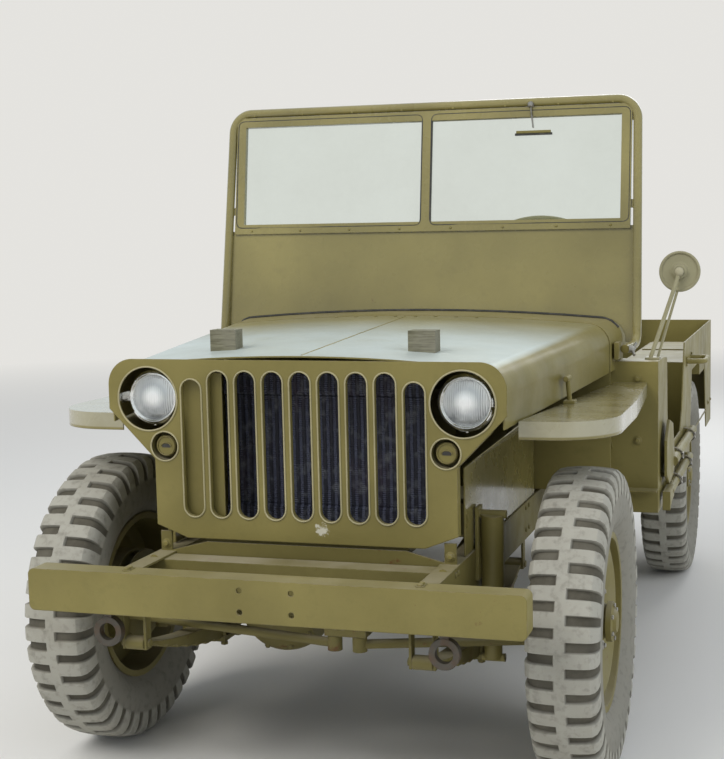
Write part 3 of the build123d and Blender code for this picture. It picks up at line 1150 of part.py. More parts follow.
def bumperettes():
    """The two short rear bumpers on the corners of the frame."""
    x0, x1 = BUMPERETTE_INNER_X, BUMPERETTE_OUTER_X
    y0, y1 = RAIL_REAR_Y, TUB_REAR_Y + SPARE_GAP - PANEL_GAP
    outer = box(x0, x1, y0, y1, BUMPER_Z, BUMPER_Z + BUMPER_HEIGHT)
    hollow = box(x0 + BUMPER_SHEET, x1 + 1, y0 - 1, y1 - BUMPER_SHEET, BUMPER_Z + BUMPER_SHEET,
                 BUMPER_Z + BUMPER_HEIGHT - BUMPER_SHEET)
    return both_sides(outer - hollow)


def tow_shackles():
    """The two lifting shackles under the front bumper, at the ends of the frame rails."""
    x, y, z = 392, BUMPER_FACE_Y + 30, BUMPER_Z - 46
    ring = Plane(origin=(x, y, z), z_dir=(0, 1, 0)) * (Circle(34) - Circle(20))
    loop = extrude(ring, 9, both=True)
    stem = box(x - 10, x + 10, y - 8, y + 8, z + 28, BUMPER_Z)
    return both_sides(fuse(loop, stem))


def hood_blocks():
    """The two wood blocks on the hood that the folded windshield rests on."""
    half_x, half_y = HOOD_BLOCK_WIDTH / 2, HOOD_BLOCK_DEPTH / 2
    block = box(HOOD_BLOCK_X - half_x, HOOD_BLOCK_X + half_x, HOOD_BLOCK_Y - half_y, HOOD_BLOCK_Y + half_y,
                980, HOOD_BLOCK_TOP_Z)
    y0, y1 = HOOD_FRONT_Y, HOOD_REAR_Y - PANEL_GAP
    sections = []
    for y in (y0, y1):
        half_width, top_z = hood_size(y)
        sections.append(Pos(0, y, 0) * hood_outline(half_width, top_z, HOOD_SIDE_DEPTH))
    under = loft(sections, ruled=True)
    return Compound(children=both_sides(block - under))


def hood_catches():
    """The T handles on the fenders that hold the hood's sides down."""
    x, y, z = hood_size(150)[0] + 22, 150, FENDER_TOP_Z
    stem = rod((x, y, z + 4), (x - 6, y, z + 62), 6)
    bar = rod((x - 6, y - 24, z + 62), (x - 6, y + 24, z + 62), 7)
    foot = box(x - 14, x + 14, y - 18, y + 18, z, z + 8)
    return both_sides(fuse(stem, bar, foot))


def windshield_brackets():
    """The blocks on the cowl's sides that the windshield's feet turn on."""
    y, z = WINDSHIELD_PIVOT_Y, WINDSHIELD_PIVOT_Z
    x0 = hood_size(y + 26)[0] + CLEARANCE
    x1 = WINDSHIELD_PIVOT_X - WINDSHIELD_TUBE_RADIUS - 1
    return both_sides(box(x0, x1, y - 26, y + 26, z - 28, z + 20))


def add_body():
    nodes["body_tub"] = tub()
    nodes["bumpers"] = Compound(children=[front_bumper(), *bumperettes()])
    nodes["grille"] = grille()
    nodes["hood"] = hood()
    nodes["dashboard"] = dashboard()
    nodes["glove_box_lid"] = glove_box_lid()
    lid = locker_lid()
    nodes["left_locker_lid"], nodes["right_locker_lid"] = both_sides(lid)
    nodes["pedals_and_levers"] = pedals_and_levers()
    nodes["headlamps"] = headlamps()
    nodes["headlamp_lenses"] = headlamp_lenses()
    nodes["small_lamps"] = Compound(children=[*marker_lamps(), *tail_lamps()])
    nodes["mirror"] = mirror_and_arm()
    nodes["pioneer_tools"] = shovel_and_axe()
    nodes["rear_seat_frame"], nodes["rear_seat_cushion"], nodes["rear_seat_back"] = rear_seat()
    nodes["spare_carrier"] = spare_carrier()
    nodes["towing_fittings"] = Compound(children=[tow_pintle(), *tow_shackles()])
    nodes["hood_blocks"] = hood_blocks()
    nodes["side_fittings"] = Compound(children=[*grab_handles(), *hood_catches(), *windshield_brackets()])
    left = fender()
    nodes["front_fenders"] = Compound(children=both_sides(left))
    nodes["windshield_frame"] = windshield_frame()
    nodes["windshield_glass"] = windshield_glass()
    nodes["steering_wheel"] = steering_wheel()
    nodes["steering_column"] = steering_column()


def export_all():
    os.makedirs("parts", exist_ok=True)
    shift = Pos(0, FRONT_OVERHANG - LENGTH / 2, 0)
    for name, shape in nodes.items():
        export_step(shift * shape, "parts/" + name + ".step")


add_wheels()
add_chassis()
add_body()
add_seats()
export_all()
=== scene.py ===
from math import cos, pi, radians, sin, sqrt, tau

import bmesh
import bpy
from mathutils import Matrix, Vector
from mathutils.bvhtree import BVHTree


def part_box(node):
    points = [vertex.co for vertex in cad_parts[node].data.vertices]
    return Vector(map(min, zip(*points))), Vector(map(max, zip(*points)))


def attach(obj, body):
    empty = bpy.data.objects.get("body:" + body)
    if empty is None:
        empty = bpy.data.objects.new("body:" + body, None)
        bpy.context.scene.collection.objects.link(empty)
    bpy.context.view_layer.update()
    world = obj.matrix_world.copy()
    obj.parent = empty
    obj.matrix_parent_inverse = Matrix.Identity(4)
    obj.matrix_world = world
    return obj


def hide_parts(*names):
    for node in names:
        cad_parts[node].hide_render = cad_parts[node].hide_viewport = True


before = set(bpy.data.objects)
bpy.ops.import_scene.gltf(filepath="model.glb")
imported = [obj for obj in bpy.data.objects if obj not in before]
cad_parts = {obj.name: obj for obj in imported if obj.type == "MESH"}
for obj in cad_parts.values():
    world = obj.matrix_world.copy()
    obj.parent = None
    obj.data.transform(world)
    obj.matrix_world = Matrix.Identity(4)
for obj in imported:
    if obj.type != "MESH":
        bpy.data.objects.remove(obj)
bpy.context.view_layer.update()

# Sizes are in metres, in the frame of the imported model: +Z up, -Y forwards, +X on the car's own left.
FRONT_AXLE_Y = -1.163
REAR_AXLE_Y = 0.869
WHEEL_X = 0.613
AXLE_Z = 0.368
LUG_COUNT = 40
SPARE_PLACE = (-0.300, 1.586, 0.800)
# These are in millimetres, with Z from the ground and Y from the front axle, for mm() below.
WHEELBASE = 2032
LAMP_X, LAMP_Z = 384, 918
MARKER_X, MARKER_Z = 344, 806
MIRROR_X, MIRROR_Z = 762, 1178
SPRING_X = 338
DIFFERENTIAL_X = -150


# Materials

def put(node, socket, value):
    """Links an output to a node's input, or stores a constant on it."""
    entry = node.inputs[socket]
    if isinstance(value, bpy.types.NodeSocket):
        node.id_data.links.new(value, entry)
    else:
        entry.default_value = (*value, 1) if entry.type == "RGBA" else value


def dress(shader, **inputs):
    """Sets a shader's inputs by name."""
    for key, value in inputs.items():
        put(shader, key.replace("_", " "), value)


def add_node(tree, kind, *sources, **values):
    """A node with its properties and inputs set by name, and the sources on its first inputs."""
    node = tree.nodes.new(kind)
    for key, value in values.items():
        if hasattr(node, key):
            setattr(node, key, value)
        else:
            put(node, key.replace("_", " "), value)
    for number, value in enumerate(sources):
        put(node, number, value)
    return node


def new_material(name):
    material = bpy.data.materials.new(name)
    material.use_nodes = True
    return material, material.node_tree, material.node_tree.nodes["Principled BSDF"]


def object_place(tree):
    """The point in the object's own coordinates."""
    node = tree.nodes.get("place") or add_node(tree, "ShaderNodeTexCoord", name="place")
    return node.outputs["Object"]


def axes(tree, vector=None):
    """The X, Y and Z of a vector, or of the point in the object's own coordinates."""
    return add_node(tree, "ShaderNodeSeparateXYZ", object_place(tree) if vector is None else vector).outputs


def noise(tree, scale, detail=4.0, roughness=0.55, stretch=(1, 1, 1)):
    """Noise in the object's own coordinates, in features per metre."""
    mapping = add_node(tree, "ShaderNodeMapping", object_place(tree), Scale=stretch)
    texture = add_node(tree, "ShaderNodeTexNoise", mapping.outputs["Vector"], Scale=scale, Detail=detail,
                       Roughness=roughness)
    return texture.outputs["Fac"]


def wave(tree, direction, scale, **values):
    """Parallel bands across the object's own coordinates."""
    texture = add_node(tree, "ShaderNodeTexWave", object_place(tree), bands_direction=direction, Scale=scale,
                       **values)
    return texture.outputs["Fac"]


def ramp(tree, source, low, high, start=0.0, end=1.0):
    """The source mapped from low..high to start..end, clamped."""
    return add_node(tree, "ShaderNodeMapRange", source, low, high, start, end).outputs["Result"]


def maths(tree, operation, *sources):
    return add_node(tree, "ShaderNodeMath", *sources, operation=operation).outputs[0]


def product(tree, a, b):
    return maths(tree, "MULTIPLY", a, b)


def length(tree, vector):
    return add_node(tree, "ShaderNodeVectorMath", vector, operation="LENGTH").outputs["Value"]


def mixed(tree, factor, a, b):
    """Colour a where the factor is 0 and b where it is 1. Each is a colour or an output."""
    node = add_node(tree, "ShaderNodeMix", data_type="RGBA")
    for socket, value in (("Factor", factor), (6, a), (7, b)):
        put(node, socket, value)
    return node.outputs[2]


def shader_mix(tree, factor, a, b):
    return add_node(tree, "ShaderNodeMixShader", factor, a, b).outputs[0]


def stain(tree, base, colour, grain, low, high, most):
    """The base under patches of a colour, up to a cover of most. The grain is the noise's own values."""
    return mixed(tree, ramp(tree, noise(tree, *grain), low, high, 0, most), base, colour)


def upward(tree):
    """0 on walls and undersides, 1 on what faces straight up."""
    normal = add_node(tree, "ShaderNodeNewGeometry").outputs["Normal"]
    return ramp(tree, axes(tree, normal)["Z"], 0.2, 1.0)


def edges(tree, radius):
    """A rounded normal, and 1 along worn edges."""
    bevel = add_node(tree, "ShaderNodeBevel", radius, samples=4).outputs[0]
    normal = add_node(tree, "ShaderNodeNewGeometry").outputs["Normal"]
    dot = add_node(tree, "ShaderNodeVectorMath", bevel, normal, operation="DOT_PRODUCT")
    return bevel, ramp(tree, dot.outputs["Value"], 0.97, 0.85)


def bump(tree, shader, height, distance, strength=1.0, normal=None):
    node = add_node(tree, "ShaderNodeBump", Height=height, Strength=strength, Distance=distance)
    if normal is not None:
        put(node, "Normal", normal)
    put(shader, "Normal", node.outputs[0])


BARE_METAL = (0.30, 0.25, 0.18)
RUST = (0.115, 0.045, 0.016)
DUST = (0.42, 0.38, 0.30)


def paint(name, colour, dust=0.35, gloss=0.42, wear=0.5, rust=0.0, coat=0.0):
    """Old brushed-on paint: uneven colour, dust on what faces up, bare metal on edges and rust in spots."""
    material, tree, shader = new_material(name)
    darker = tuple(c * 0.80 for c in colour)
    lighter = tuple(min(1, c * 1.14 + 0.006) for c in colour)
    base = stain(tree, darker, lighter, (3.0, 5), 0.35, 0.66, 1)
    base = stain(tree, base, tuple(c * 0.62 for c in colour), (24, 6, 0.65), 0.52, 0.74, 0.35)
    rounded, edge = edges(tree, 0.004)
    chips = product(tree, edge, ramp(tree, noise(tree, 55, 4), 0.48, 0.60, 0, wear))
    base = mixed(tree, chips, base, BARE_METAL)
    if rust:
        base = stain(tree, base, RUST, (16, 8, 0.7), 0.70 - 0.12 * rust, 0.76 - 0.10 * rust, 0.85)
    settled = product(tree, upward(tree), ramp(tree, noise(tree, 7, 6, 0.6), 0.3, 0.72, 0.25 * dust, dust))
    dress(shader, Base_Color=mixed(tree, settled, base, DUST),
          Roughness=ramp(tree, noise(tree, 14, 5), 0.3, 0.7, gloss - 0.07, gloss + 0.12),
          Specular_IOR_Level=0.30, Coat_Weight=coat, Coat_Roughness=0.16)
    bump(tree, shader, noise(tree, 180, 3), 0.0006, 0.25, rounded)
    return material


def painted_over(material, factor, colour):
    """The material with a colour laid over its own where the factor is above 0."""
    shader = material.node_tree.nodes["Principled BSDF"]
    base = shader.inputs["Base Color"].links[0].from_socket
    put(shader, "Base Color", mixed(material.node_tree, factor, base, colour))
    return material


def with_painted_lip_highlight(material, low):
    """The paint with its upright faces above a height given a pale band: a painted highlight along the lip."""
    tree = material.node_tree
    band = product(tree, ramp(tree, axes(tree)["Z"], low - 0.003, low), ramp(tree, upward(tree), 0.7, 0.2))
    # The pale band is a painted highlight, where light catches the lip's rounded edge.
    worn = product(tree, band, ramp(tree, noise(tree, 5, 5), 0.30, 0.55, 0.55, 0.95))
    return painted_over(material, worn, (0.37, 0.35, 0.25))


def with_pale_patch(material, x, z, radius):
    """The paint with one ragged pale patch about a point on the left side."""
    tree = material.node_tree
    reach, _ = lamp_distance(tree, x, z)
    left = ramp(tree, axes(tree)["X"], 0.0, 0.004)
    bite = ramp(tree, noise(tree, 42, 5, 0.7), 0.30, 0.70, -0.6 * radius, 0.9 * radius)
    ragged = maths(tree, "ADD", reach, bite)
    patch = product(tree, ramp(tree, ragged, radius, radius * 0.7, 0, 0.85), left)
    return painted_over(material, patch, (0.62, 0.60, 0.50))


def with_painted_sky_reflection(material, front, back):
    """The paint with a painted reflection of the pale sky on its top face, which fades out from front to back."""
    tree = material.node_tree
    reach = ramp(tree, axes(tree)["Y"], front, back, 0.90, 0.08)
    cover = product(tree, ramp(tree, upward(tree), 0.80, 0.97), reach)
    cover = product(tree, cover, ramp(tree, noise(tree, 4, 6, 0.6), 0.25, 0.65, 0.75, 1.0))
    # Painted reflection: a pale blue-grey laid on the top face where the sky would show in the gloss.
    return painted_over(material, cover, (0.50, 0.57, 0.57))


def metal(name, colour, roughness=0.35, dirt=0.4, metallic=1.0, dirt_colour=(0.10, 0.08, 0.05)):
    material, tree, shader = new_material(name)
    dress(shader, Base_Color=stain(tree, colour, dirt_colour, (30, 6, 0.65), 0.45, 0.7, dirt), Metallic=metallic,
          Roughness=ramp(tree, noise(tree, 40, 5), 0.3, 0.7, roughness - 0.08, roughness + 0.15))
    rounded, _ = edges(tree, 0.002)
    bump(tree, shader, noise(tree, 120, 3), 0.0004, 0.3, rounded)
    return material


def rubber_material():
    """Tyre rubber under dry dust: lightest on the lugs, thinner on the walls and dark in the grooves."""
    material, tree, shader = new_material("tyre_rubber")
    raised = add_node(tree, "ShaderNodeAttribute", attribute_name="raised").outputs["Fac"]
    base = mixed(tree, ramp(tree, raised, 0.0, 1.0), (0.085, 0.078, 0.060), (0.38, 0.37, 0.32))
    base = stain(tree, base, (0.25, 0.235, 0.19), (11, 6, 0.6), 0.40, 0.72, 0.40)
    base = stain(tree, base, (0.115, 0.105, 0.085), (55, 5), 0.50, 0.75, 0.45)
    dress(shader, Base_Color=base, Roughness=0.86, Specular_IOR_Level=0.25)
    bump(tree, shader, noise(tree, 220, 4), 0.0008, 0.35)
    return material


def canvas_material(name="canvas", dark=(0.20, 0.185, 0.105), light=(0.30, 0.275, 0.17), threads=170.0):
    """Woven cotton duck, faded and dusty."""
    material, tree, shader = new_material(name)
    warp, weft = (wave(tree, direction, threads, Distortion=1.5, Detail=1.0) for direction in ("X", "Z"))
    cloth = product(tree, warp, weft)
    base = stain(tree, dark, light, (6, 5), 0.3, 0.7, 1)
    base = mixed(tree, ramp(tree, cloth, 0.2, 0.9, 0, 0.35), base, tuple(c * 1.25 for c in light))
    dress(shader, Base_Color=base, Roughness=0.92, Sheen_Weight=0.25)
    bump(tree, shader, cloth, 0.0008, 0.5)
    return material


def wood_material(name, light, dark):
    """Bare wood with its grain along X."""
    material, tree, shader = new_material(name)
    streaks = noise(tree, 26, 6, 0.6, (1, 14, 14))
    base = mixed(tree, ramp(tree, streaks, 0.35, 0.65), dark, light)
    base = stain(tree, base, (0.26, 0.245, 0.20), (11, 4), 0.5, 0.75, 0.6)
    dress(shader, Base_Color=base, Roughness=0.75)
    bump(tree, shader, streaks, 0.0015, 0.5)
    return material


def pane_material(name, tint, haze=0.10, gloss=0.04):
    """Old window glass: mostly clear, with a sheen at glancing angles and a film of dust."""
    material, tree, shader = new_material(name)
    tree.nodes.remove(shader)
    clear = add_node(tree, "ShaderNodeBsdfTransparent", Color=tint)
    shine = add_node(tree, "ShaderNodeBsdfGlossy", Roughness=gloss)
    film = add_node(tree, "ShaderNodeBsdfDiffuse", Color=(0.45, 0.44, 0.40))
    facing = add_node(tree, "ShaderNodeLayerWeight", Blend=0.5).outputs["Facing"]
    squared = product(tree, facing, facing)
    sheen = ramp(tree, product(tree, squared, squared), 0, 1, 0.03, 0.85)
    glass = shader_mix(tree, sheen, clear.outputs[0], shine.outputs[0])
    dust = ramp(tree, noise(tree, 5, 6, 0.6), 0.35, 0.8, 0.02, haze)
    put(tree.nodes["Material Output"], "Surface", shader_mix(tree, dust, glass, film.outputs[0]))
    return material


def radiator_material():
    """Dark fins between upright tubes."""
    material, tree, shader = new_material("radiator_core")
    fins = wave(tree, "Z", 62.0)
    tubes = wave(tree, "X", 18.0, Distortion=0.6)
    base = mixed(tree, ramp(tree, tubes, 0.55, 0.8), (0.016, 0.017, 0.028), (0.105, 0.115, 0.175))
    base = stain(tree, base, (0.05, 0.035, 0.06), (12, 5), 0.5, 0.7, 0.5)
    base = stain(tree, base, (0.19, 0.20, 0.22), (35, 6), 0.52, 0.7, 0.55)
    dress(shader, Base_Color=base, Roughness=0.6)
    bump(tree, shader, product(tree, fins, tubes), 0.004, 0.8)
    return material


def lamp_distance(tree, x, z):
    """How far a point is from the axis of the lamp on its own side, and its height above that axis, in metres."""
    point = axes(tree)
    across = maths(tree, "SUBTRACT", maths(tree, "ABSOLUTE", point["X"]), x)
    height = maths(tree, "SUBTRACT", point["Z"], z)
    both = add_node(tree, "ShaderNodeCombineXYZ", across, height)
    return length(tree, both.outputs[0]), height


def lens_material():
    """A sealed lamp's glass over its silvered bowl, with the bowl's reflection painted into its colour: a bright
    middle as a painted highlight, a grey ring, a dark lower part and flutes.
    """
    material, tree, shader = new_material("lamp_lens")
    reach, height = lamp_distance(tree, LAMP_X / 1000, LAMP_Z / 1000)
    # Painted reflection: bright in the middle, a grey ring, then a paler outer band.
    base = mixed(tree, ramp(tree, reach, 0.012, 0.030), (0.86, 0.88, 0.88), (0.50, 0.53, 0.54))
    base = mixed(tree, ramp(tree, reach, 0.034, 0.050), base, (0.74, 0.76, 0.76))
    # Painted reflection: the lower part darker, in ragged patches.
    low = product(tree, ramp(tree, height, -0.004, -0.034), ramp(tree, noise(tree, 26, 3), 0.30, 0.62, 0.25, 0.9))
    dress(shader, Base_Color=mixed(tree, low, base, (0.17, 0.18, 0.19)), Metallic=0.35, Roughness=0.12,
          Coat_Weight=1.0, Coat_Roughness=0.03)
    bump(tree, shader, wave(tree, "X", 60.0), 0.0015, 0.5)
    return material


def glossy_material(name, colour, dirt, roughness, metallic=0.0):
    """Smooth glass, lacquer or rubber with a thin uneven film of dust."""
    material, tree, shader = new_material(name)
    film = ramp(tree, noise(tree, 45, 6, 0.65), 0.48, 0.75, 0, 0.45)
    dress(shader, Base_Color=mixed(tree, film, colour, dirt), Metallic=metallic,
          Roughness=ramp(tree, film, 0, 0.45, roughness, roughness + 0.3))
    return material


def dial_material():
    """A black dial with a ring of pale ticks about the middle of the piece's own box."""
    material, tree, shader = new_material("dial_face")
    place = add_node(tree, "ShaderNodeTexCoord").outputs["Generated"]
    centred = add_node(tree, "ShaderNodeVectorMath", place, (0.5, 0.5, 0.5), operation="SUBTRACT")
    point = axes(tree, centred.outputs[0])
    reach = length(tree, add_node(tree, "ShaderNodeCombineXYZ", point["X"], point["Z"]).outputs[0])
    beat = maths(tree, "SINE", product(tree, maths(tree, "ARCTAN2", point["Z"], point["X"]), 24.0))
    ring = product(tree, ramp(tree, reach, 0.34, 0.36), ramp(tree, reach, 0.46, 0.44))
    ticks = product(tree, ring, ramp(tree, beat, 0.75, 0.85))
    base = stain(tree, (0.012, 0.012, 0.012), (0.05, 0.048, 0.04), (60, 4), 0.4, 0.7, 0.4)
    dress(shader, Base_Color=mixed(tree, ticks, base, (0.72, 0.70, 0.60)), Roughness=0.25, Coat_Weight=1.0)
    return material


OLIVE = (0.212, 0.180, 0.056)

materials = {
    "olive": paint("olive_paint", OLIVE, dust=0.30, rust=0.25),
    "olive_glossy": paint("olive_panels", OLIVE, dust=0.18, gloss=0.26, rust=0.25, coat=1.0),
    # The hood's top has a painted reflection of the sky, strongest at the front.
    "hood": with_painted_sky_reflection(paint("hood_paint_with_painted_sky", OLIVE, dust=0.18, gloss=0.42, rust=0.25, coat=0.15), -1.00, -0.66),
    # The fenders' lip has a painted highlight.
    "fender": with_painted_lip_highlight(paint("fender_paint_with_painted_highlight", OLIVE, dust=0.30, gloss=0.26, rust=0.25, coat=1.0), 0.838),
    # A paler olive, used for the mirror's rim and stud boss.
    "olive_pale": paint("pale_olive_paint", (0.42, 0.39, 0.26), dust=0.2, gloss=0.35, rust=0.1),
    "mirror_back": paint("mirror_paint", (0.30, 0.28, 0.17), dust=0.2, gloss=0.35, rust=0.1),
    # The grille's rolled edges: a paler olive that is a painted highlight.
    "rolled": paint("rolled_edges_painted_highlight", (0.39, 0.35, 0.19), dust=0.25, gloss=0.26, rust=0.1, coat=0.8),
    "grille": with_pale_patch(paint("grille_paint", OLIVE, dust=0.30, rust=0.25), 0.046, 0.621, 0.017),
    "olive_dirty": paint("olive_under", tuple(c * 0.72 for c in OLIVE), dust=0.6, gloss=0.6, rust=0.8),
    "olive_wheel": paint("olive_wheel", tuple(c * 0.92 for c in OLIVE), dust=0.55, gloss=0.5, rust=0.5),
    "tyre": rubber_material(),
    "canvas": canvas_material(),
    "wood": wood_material("block_wood", (0.225, 0.215, 0.145), (0.105, 0.098, 0.060)),
    "glass": pane_material("clear_glass", (0.93, 0.96, 0.94)),
    "radiator": radiator_material(),
    "steel": metal("bare_steel", (0.42, 0.40, 0.37), 0.42, 0.55),
    "chrome": metal("lamp_metal", (0.86, 0.86, 0.84), 0.16, 0.10),
    "iron": metal("dark_iron", (0.10, 0.09, 0.075), 0.6, 0.7, 0.6, (0.13, 0.07, 0.035)),
    "black": paint("black_metal", (0.022, 0.022, 0.02), dust=0.25, gloss=0.45, rust=0.0, wear=0.3),
    "lens": lens_material(),
    "gasket": glossy_material("seal_rubber", (0.028, 0.027, 0.024), (0.16, 0.15, 0.12), 0.5),
    "mirror_glass": glossy_material("mirror_glass", (0.86, 0.88, 0.88), (0.45, 0.44, 0.40), 0.04, 1.0),
    "red_glass": glossy_material("red_lens", (0.20, 0.012, 0.008), (0.22, 0.17, 0.13), 0.12),
    "dial": dial_material(),
    "webbing": canvas_material("strap_webbing", (0.115, 0.095, 0.050), (0.19, 0.165, 0.10), 420.0),
}

# The nodes with each finish other than olive paint
NODE_FINISHES = {
    "olive_dirty": "chassis_frame front_axle rear_axle leaf_springs left_knuckle right_knuckle bell_crank "
                   "left_tie_rod right_tie_rod pitman_arm drag_link steering_box engine_block gearbox "
                   "propeller_shafts",
    "olive_wheel": "front_left_rim front_right_rim rear_left_rim rear_right_rim spare_rim",
    "tyre": "front_left_tyre front_right_tyre rear_left_tyre rear_right_tyre spare_tyre",
    "canvas": "driver_seat_cushions passenger_seat_cushions rear_seat_cushion rear_seat_back",
    "iron": "exhaust towing_fittings",
    "radiator": "radiator",
    "glass": "windshield_glass",
    "olive_glossy": "windshield_frame",
    "chrome": "headlamps",
    "lens": "headlamp_lenses",
    "wood": "hood_blocks",
    "hood": "hood",
    "fender": "front_fenders",
    "grille": "grille",
    "mirror_back": "mirror",
}


def dress_nodes():
    """Every CAD node gets its finish."""
    finish = {name: key for key, names in NODE_FINISHES.items() for name in names.split()}
    for name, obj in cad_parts.items():
        obj.data.materials.clear()
        obj.data.materials.append(materials[finish.get(name, "olive")])


# Mesh tools

def new_object(name, data):
    obj = bpy.data.objects.new(name, data)
    bpy.context.scene.collection.objects.link(obj)
    return obj


def finish_piece(name, mesh, material, body="chassis", sharp=35, bevel=0.0):
    """The mesh as a shaded piece that rides on a body."""
    obj = new_object(name, mesh)
    mesh.materials.clear()
    mesh.materials.append(materials[material])
    if bevel:
        modifier = obj.modifiers.new("bevel", "BEVEL")
        modifier.width, modifier.segments, modifier.limit_method = bevel, 2, "ANGLE"
        modifier.angle_limit = radians(40)
    mesh.polygons.foreach_set("use_smooth", [True] * len(mesh.polygons))
    mesh.set_sharp_from_angle(angle=radians(sharp))
    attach(obj, body)
    return obj


def mesh_from(bm, name):
    bmesh.ops.recalc_face_normals(bm, faces=bm.faces)
    mesh = bpy.data.meshes.new(name)
    bm.to_mesh(mesh)
    bm.free()
    return mesh


def piece(name, bm, material, body="chassis", sharp=35, bevel=0.0):
    """The bmesh as a shaded piece that rides on a body."""
    return finish_piece(name, mesh_from(bm, name), material, body, sharp, bevel)


def frame_along(direction):
    """A rotation that turns +Z to the direction."""
    return Vector(direction).to_track_quat("Z", "Y").to_matrix().to_4x4()


def add_lathe(bm, profile, place, direction, steps=32):
    """Adds a turned solid to the bmesh: (radius, height) points about a line from place along direction."""
    turn = Matrix.Translation(place) @ frame_along(direction)
    rings = []
    for radius, height in profile:
        angles = [tau * k / steps for k in range(steps)] if radius > 1e-6 else [0]
        rings.append([bm.verts.new(turn @ Vector((radius * cos(a), radius * sin(a), height))) for a in angles])
    for low, high in zip(rings, rings[1:]):
        for k in range(steps):
            after = (k + 1) % steps
            if len(low) == 1 and len(high) == 1:
                continue
            if len(low) == 1:
                bm.faces.new((low[0], high[k], high[after]))
            elif len(high) == 1:
                bm.faces.new((low[k], low[after], high[0]))
            else:
                bm.faces.new((low[k], low[after], high[after], high[k]))


def lathe(name, profile, place, direction, material, body, steps=32):
    bm = bmesh.new()
    add_lathe(bm, profile, place, direction, steps)
    return piece(name, bm, material, body)


def add_block(bm, low, high, turn=None):
    """Adds a box between two corners, turned by a matrix if there is one."""
    matrix = turn or Matrix.Identity(4)
    middle = (Vector(low) + Vector(high)) / 2
    size = Vector(high) - Vector(low)
    scale = Matrix.Diagonal((*size, 1))
    bmesh.ops.create_cube(bm, size=1, matrix=matrix @ Matrix.Translation(middle) @ scale)


def add_bolt(bm, place, direction, size, height, washer=True):
    """Adds a hexagon bolt head of the given width, standing on place."""
    radius = size / sqrt(3)
    profile = [(0, 0), (radius, 0), (radius, height * 0.8), (radius * 0.82, height), (0, height)]
    start = Vector(place)
    if washer:
        wide, thick = size * 0.95, size * 0.12
        add_lathe(bm, [(0, 0), (wide, 0), (wide, thick), (0, thick)], start, direction, 20)
        start = start + Vector(direction).normalized() * thick
    add_lathe(bm, profile, start, direction, 6)


def rounded_path(points, bend, steps=6):
    """The points with each inner corner rounded."""
    points = [Vector(p) for p in points]
    path = [points[0]]
    for before, corner, after in zip(points, points[1:], points[2:]):
        cut = min(bend, (corner - before).length * 0.49, (after - corner).length * 0.49)
        start = corner + (before - corner).normalized() * cut
        end = corner + (after - corner).normalized() * cut
        for k in range(steps + 1):
            t = k / steps
            path.append(start * (1 - t) ** 2 + corner * 2 * t * (1 - t) + end * t ** 2)
    path.append(points[-1])
    return path


def add_tube(bm, path, radius, sides=12, closed=False):
    """Adds a round bar along a path."""
    path = [Vector(p) for p in path]
    count = len(path)
    rings, across = [], None
    for k, point in enumerate(path):
        before = path[(k - 1) % count] if closed or k else path[0]
        after = path[(k + 1) % count] if closed or k < count - 1 else path[-1]
        along = (after - before).normalized()
        across = along.orthogonal() if across is None else across - along * across.dot(along)
        across.normalize()
        other = along.cross(across)
        rings.append([bm.verts.new(point + (across * cos(tau * n / sides) + other * sin(tau * n / sides)) * radius)
                      for n in range(sides)])
    pairs = list(zip(rings, rings[1:])) + ([(rings[-1], rings[0])] if closed else [])
    for low, high in pairs:
        for n in range(sides):
            bm.faces.new((low[n], low[(n + 1) % sides], high[(n + 1) % sides], high[n]))
    if not closed:
        bm.faces.new(rings[0][::-1])
        bm.faces.new(rings[-1])


def tube(name, points, radius, material, body, bend=0.0, sides=12, sharp=50):
    bm = bmesh.new()
    add_tube(bm, rounded_path(points, bend) if bend else points, radius, sides)
    return piece(name, bm, material, body, sharp)


# Wheels

# Half of the tyre's section from the bead to the middle, as (X, radius) of the groove floors and of the lug tops
WALL = [(0.049, 0.205), (0.052, 0.216), (0.061, 0.226), (0.0705, 0.238), (0.0725, 0.243), (0.0765, 0.252),
        (0.0800, 0.268), (0.0812, 0.284), (0.0808, 0.300)]
TYRE_SECTION = [(point, point) for point in WALL] + [
    ((0.0798, 0.306), (0.0808, 0.309)), ((0.0780, 0.318), (0.0815, 0.322)), ((0.0745, 0.332), (0.0800, 0.338)),
    ((0.0680, 0.345), (0.0755, 0.352)), ((0.0590, 0.3525), (0.0660, 0.3615)), ((0.0480, 0.3560), (0.0520, 0.3650)),
    ((0.0300, 0.3590), (0.0300, 0.3672)), ((0.0150, 0.3600), (0.0150, 0.3678)),
    ((0.0110, 0.3679), (0.0110, 0.3679)), ((0.0, 0.368), (0.0, 0.368)),
]
# Stations round one lug pitch, and whether each side's tread is raised there
PITCH_STATIONS = [(0.00, 1, 1), (0.06, 1, 1), (0.12, 0, 1), (0.44, 0, 1), (0.50, 1, 1), (0.56, 1, 1), (0.62, 1, 0),
                  (0.94, 1, 0)]


RIB_RADIUS = 0.365
WALL_DUST = 0.55


def tyre_height(pair, up):
    """1 on a lug or the middle rib, 0 on a groove's floor and between them on the walls."""
    if pair[0] != pair[1]:
        return float(up)
    return 1.0 if pair[0][1] > RIB_RADIUS else WALL_DUST


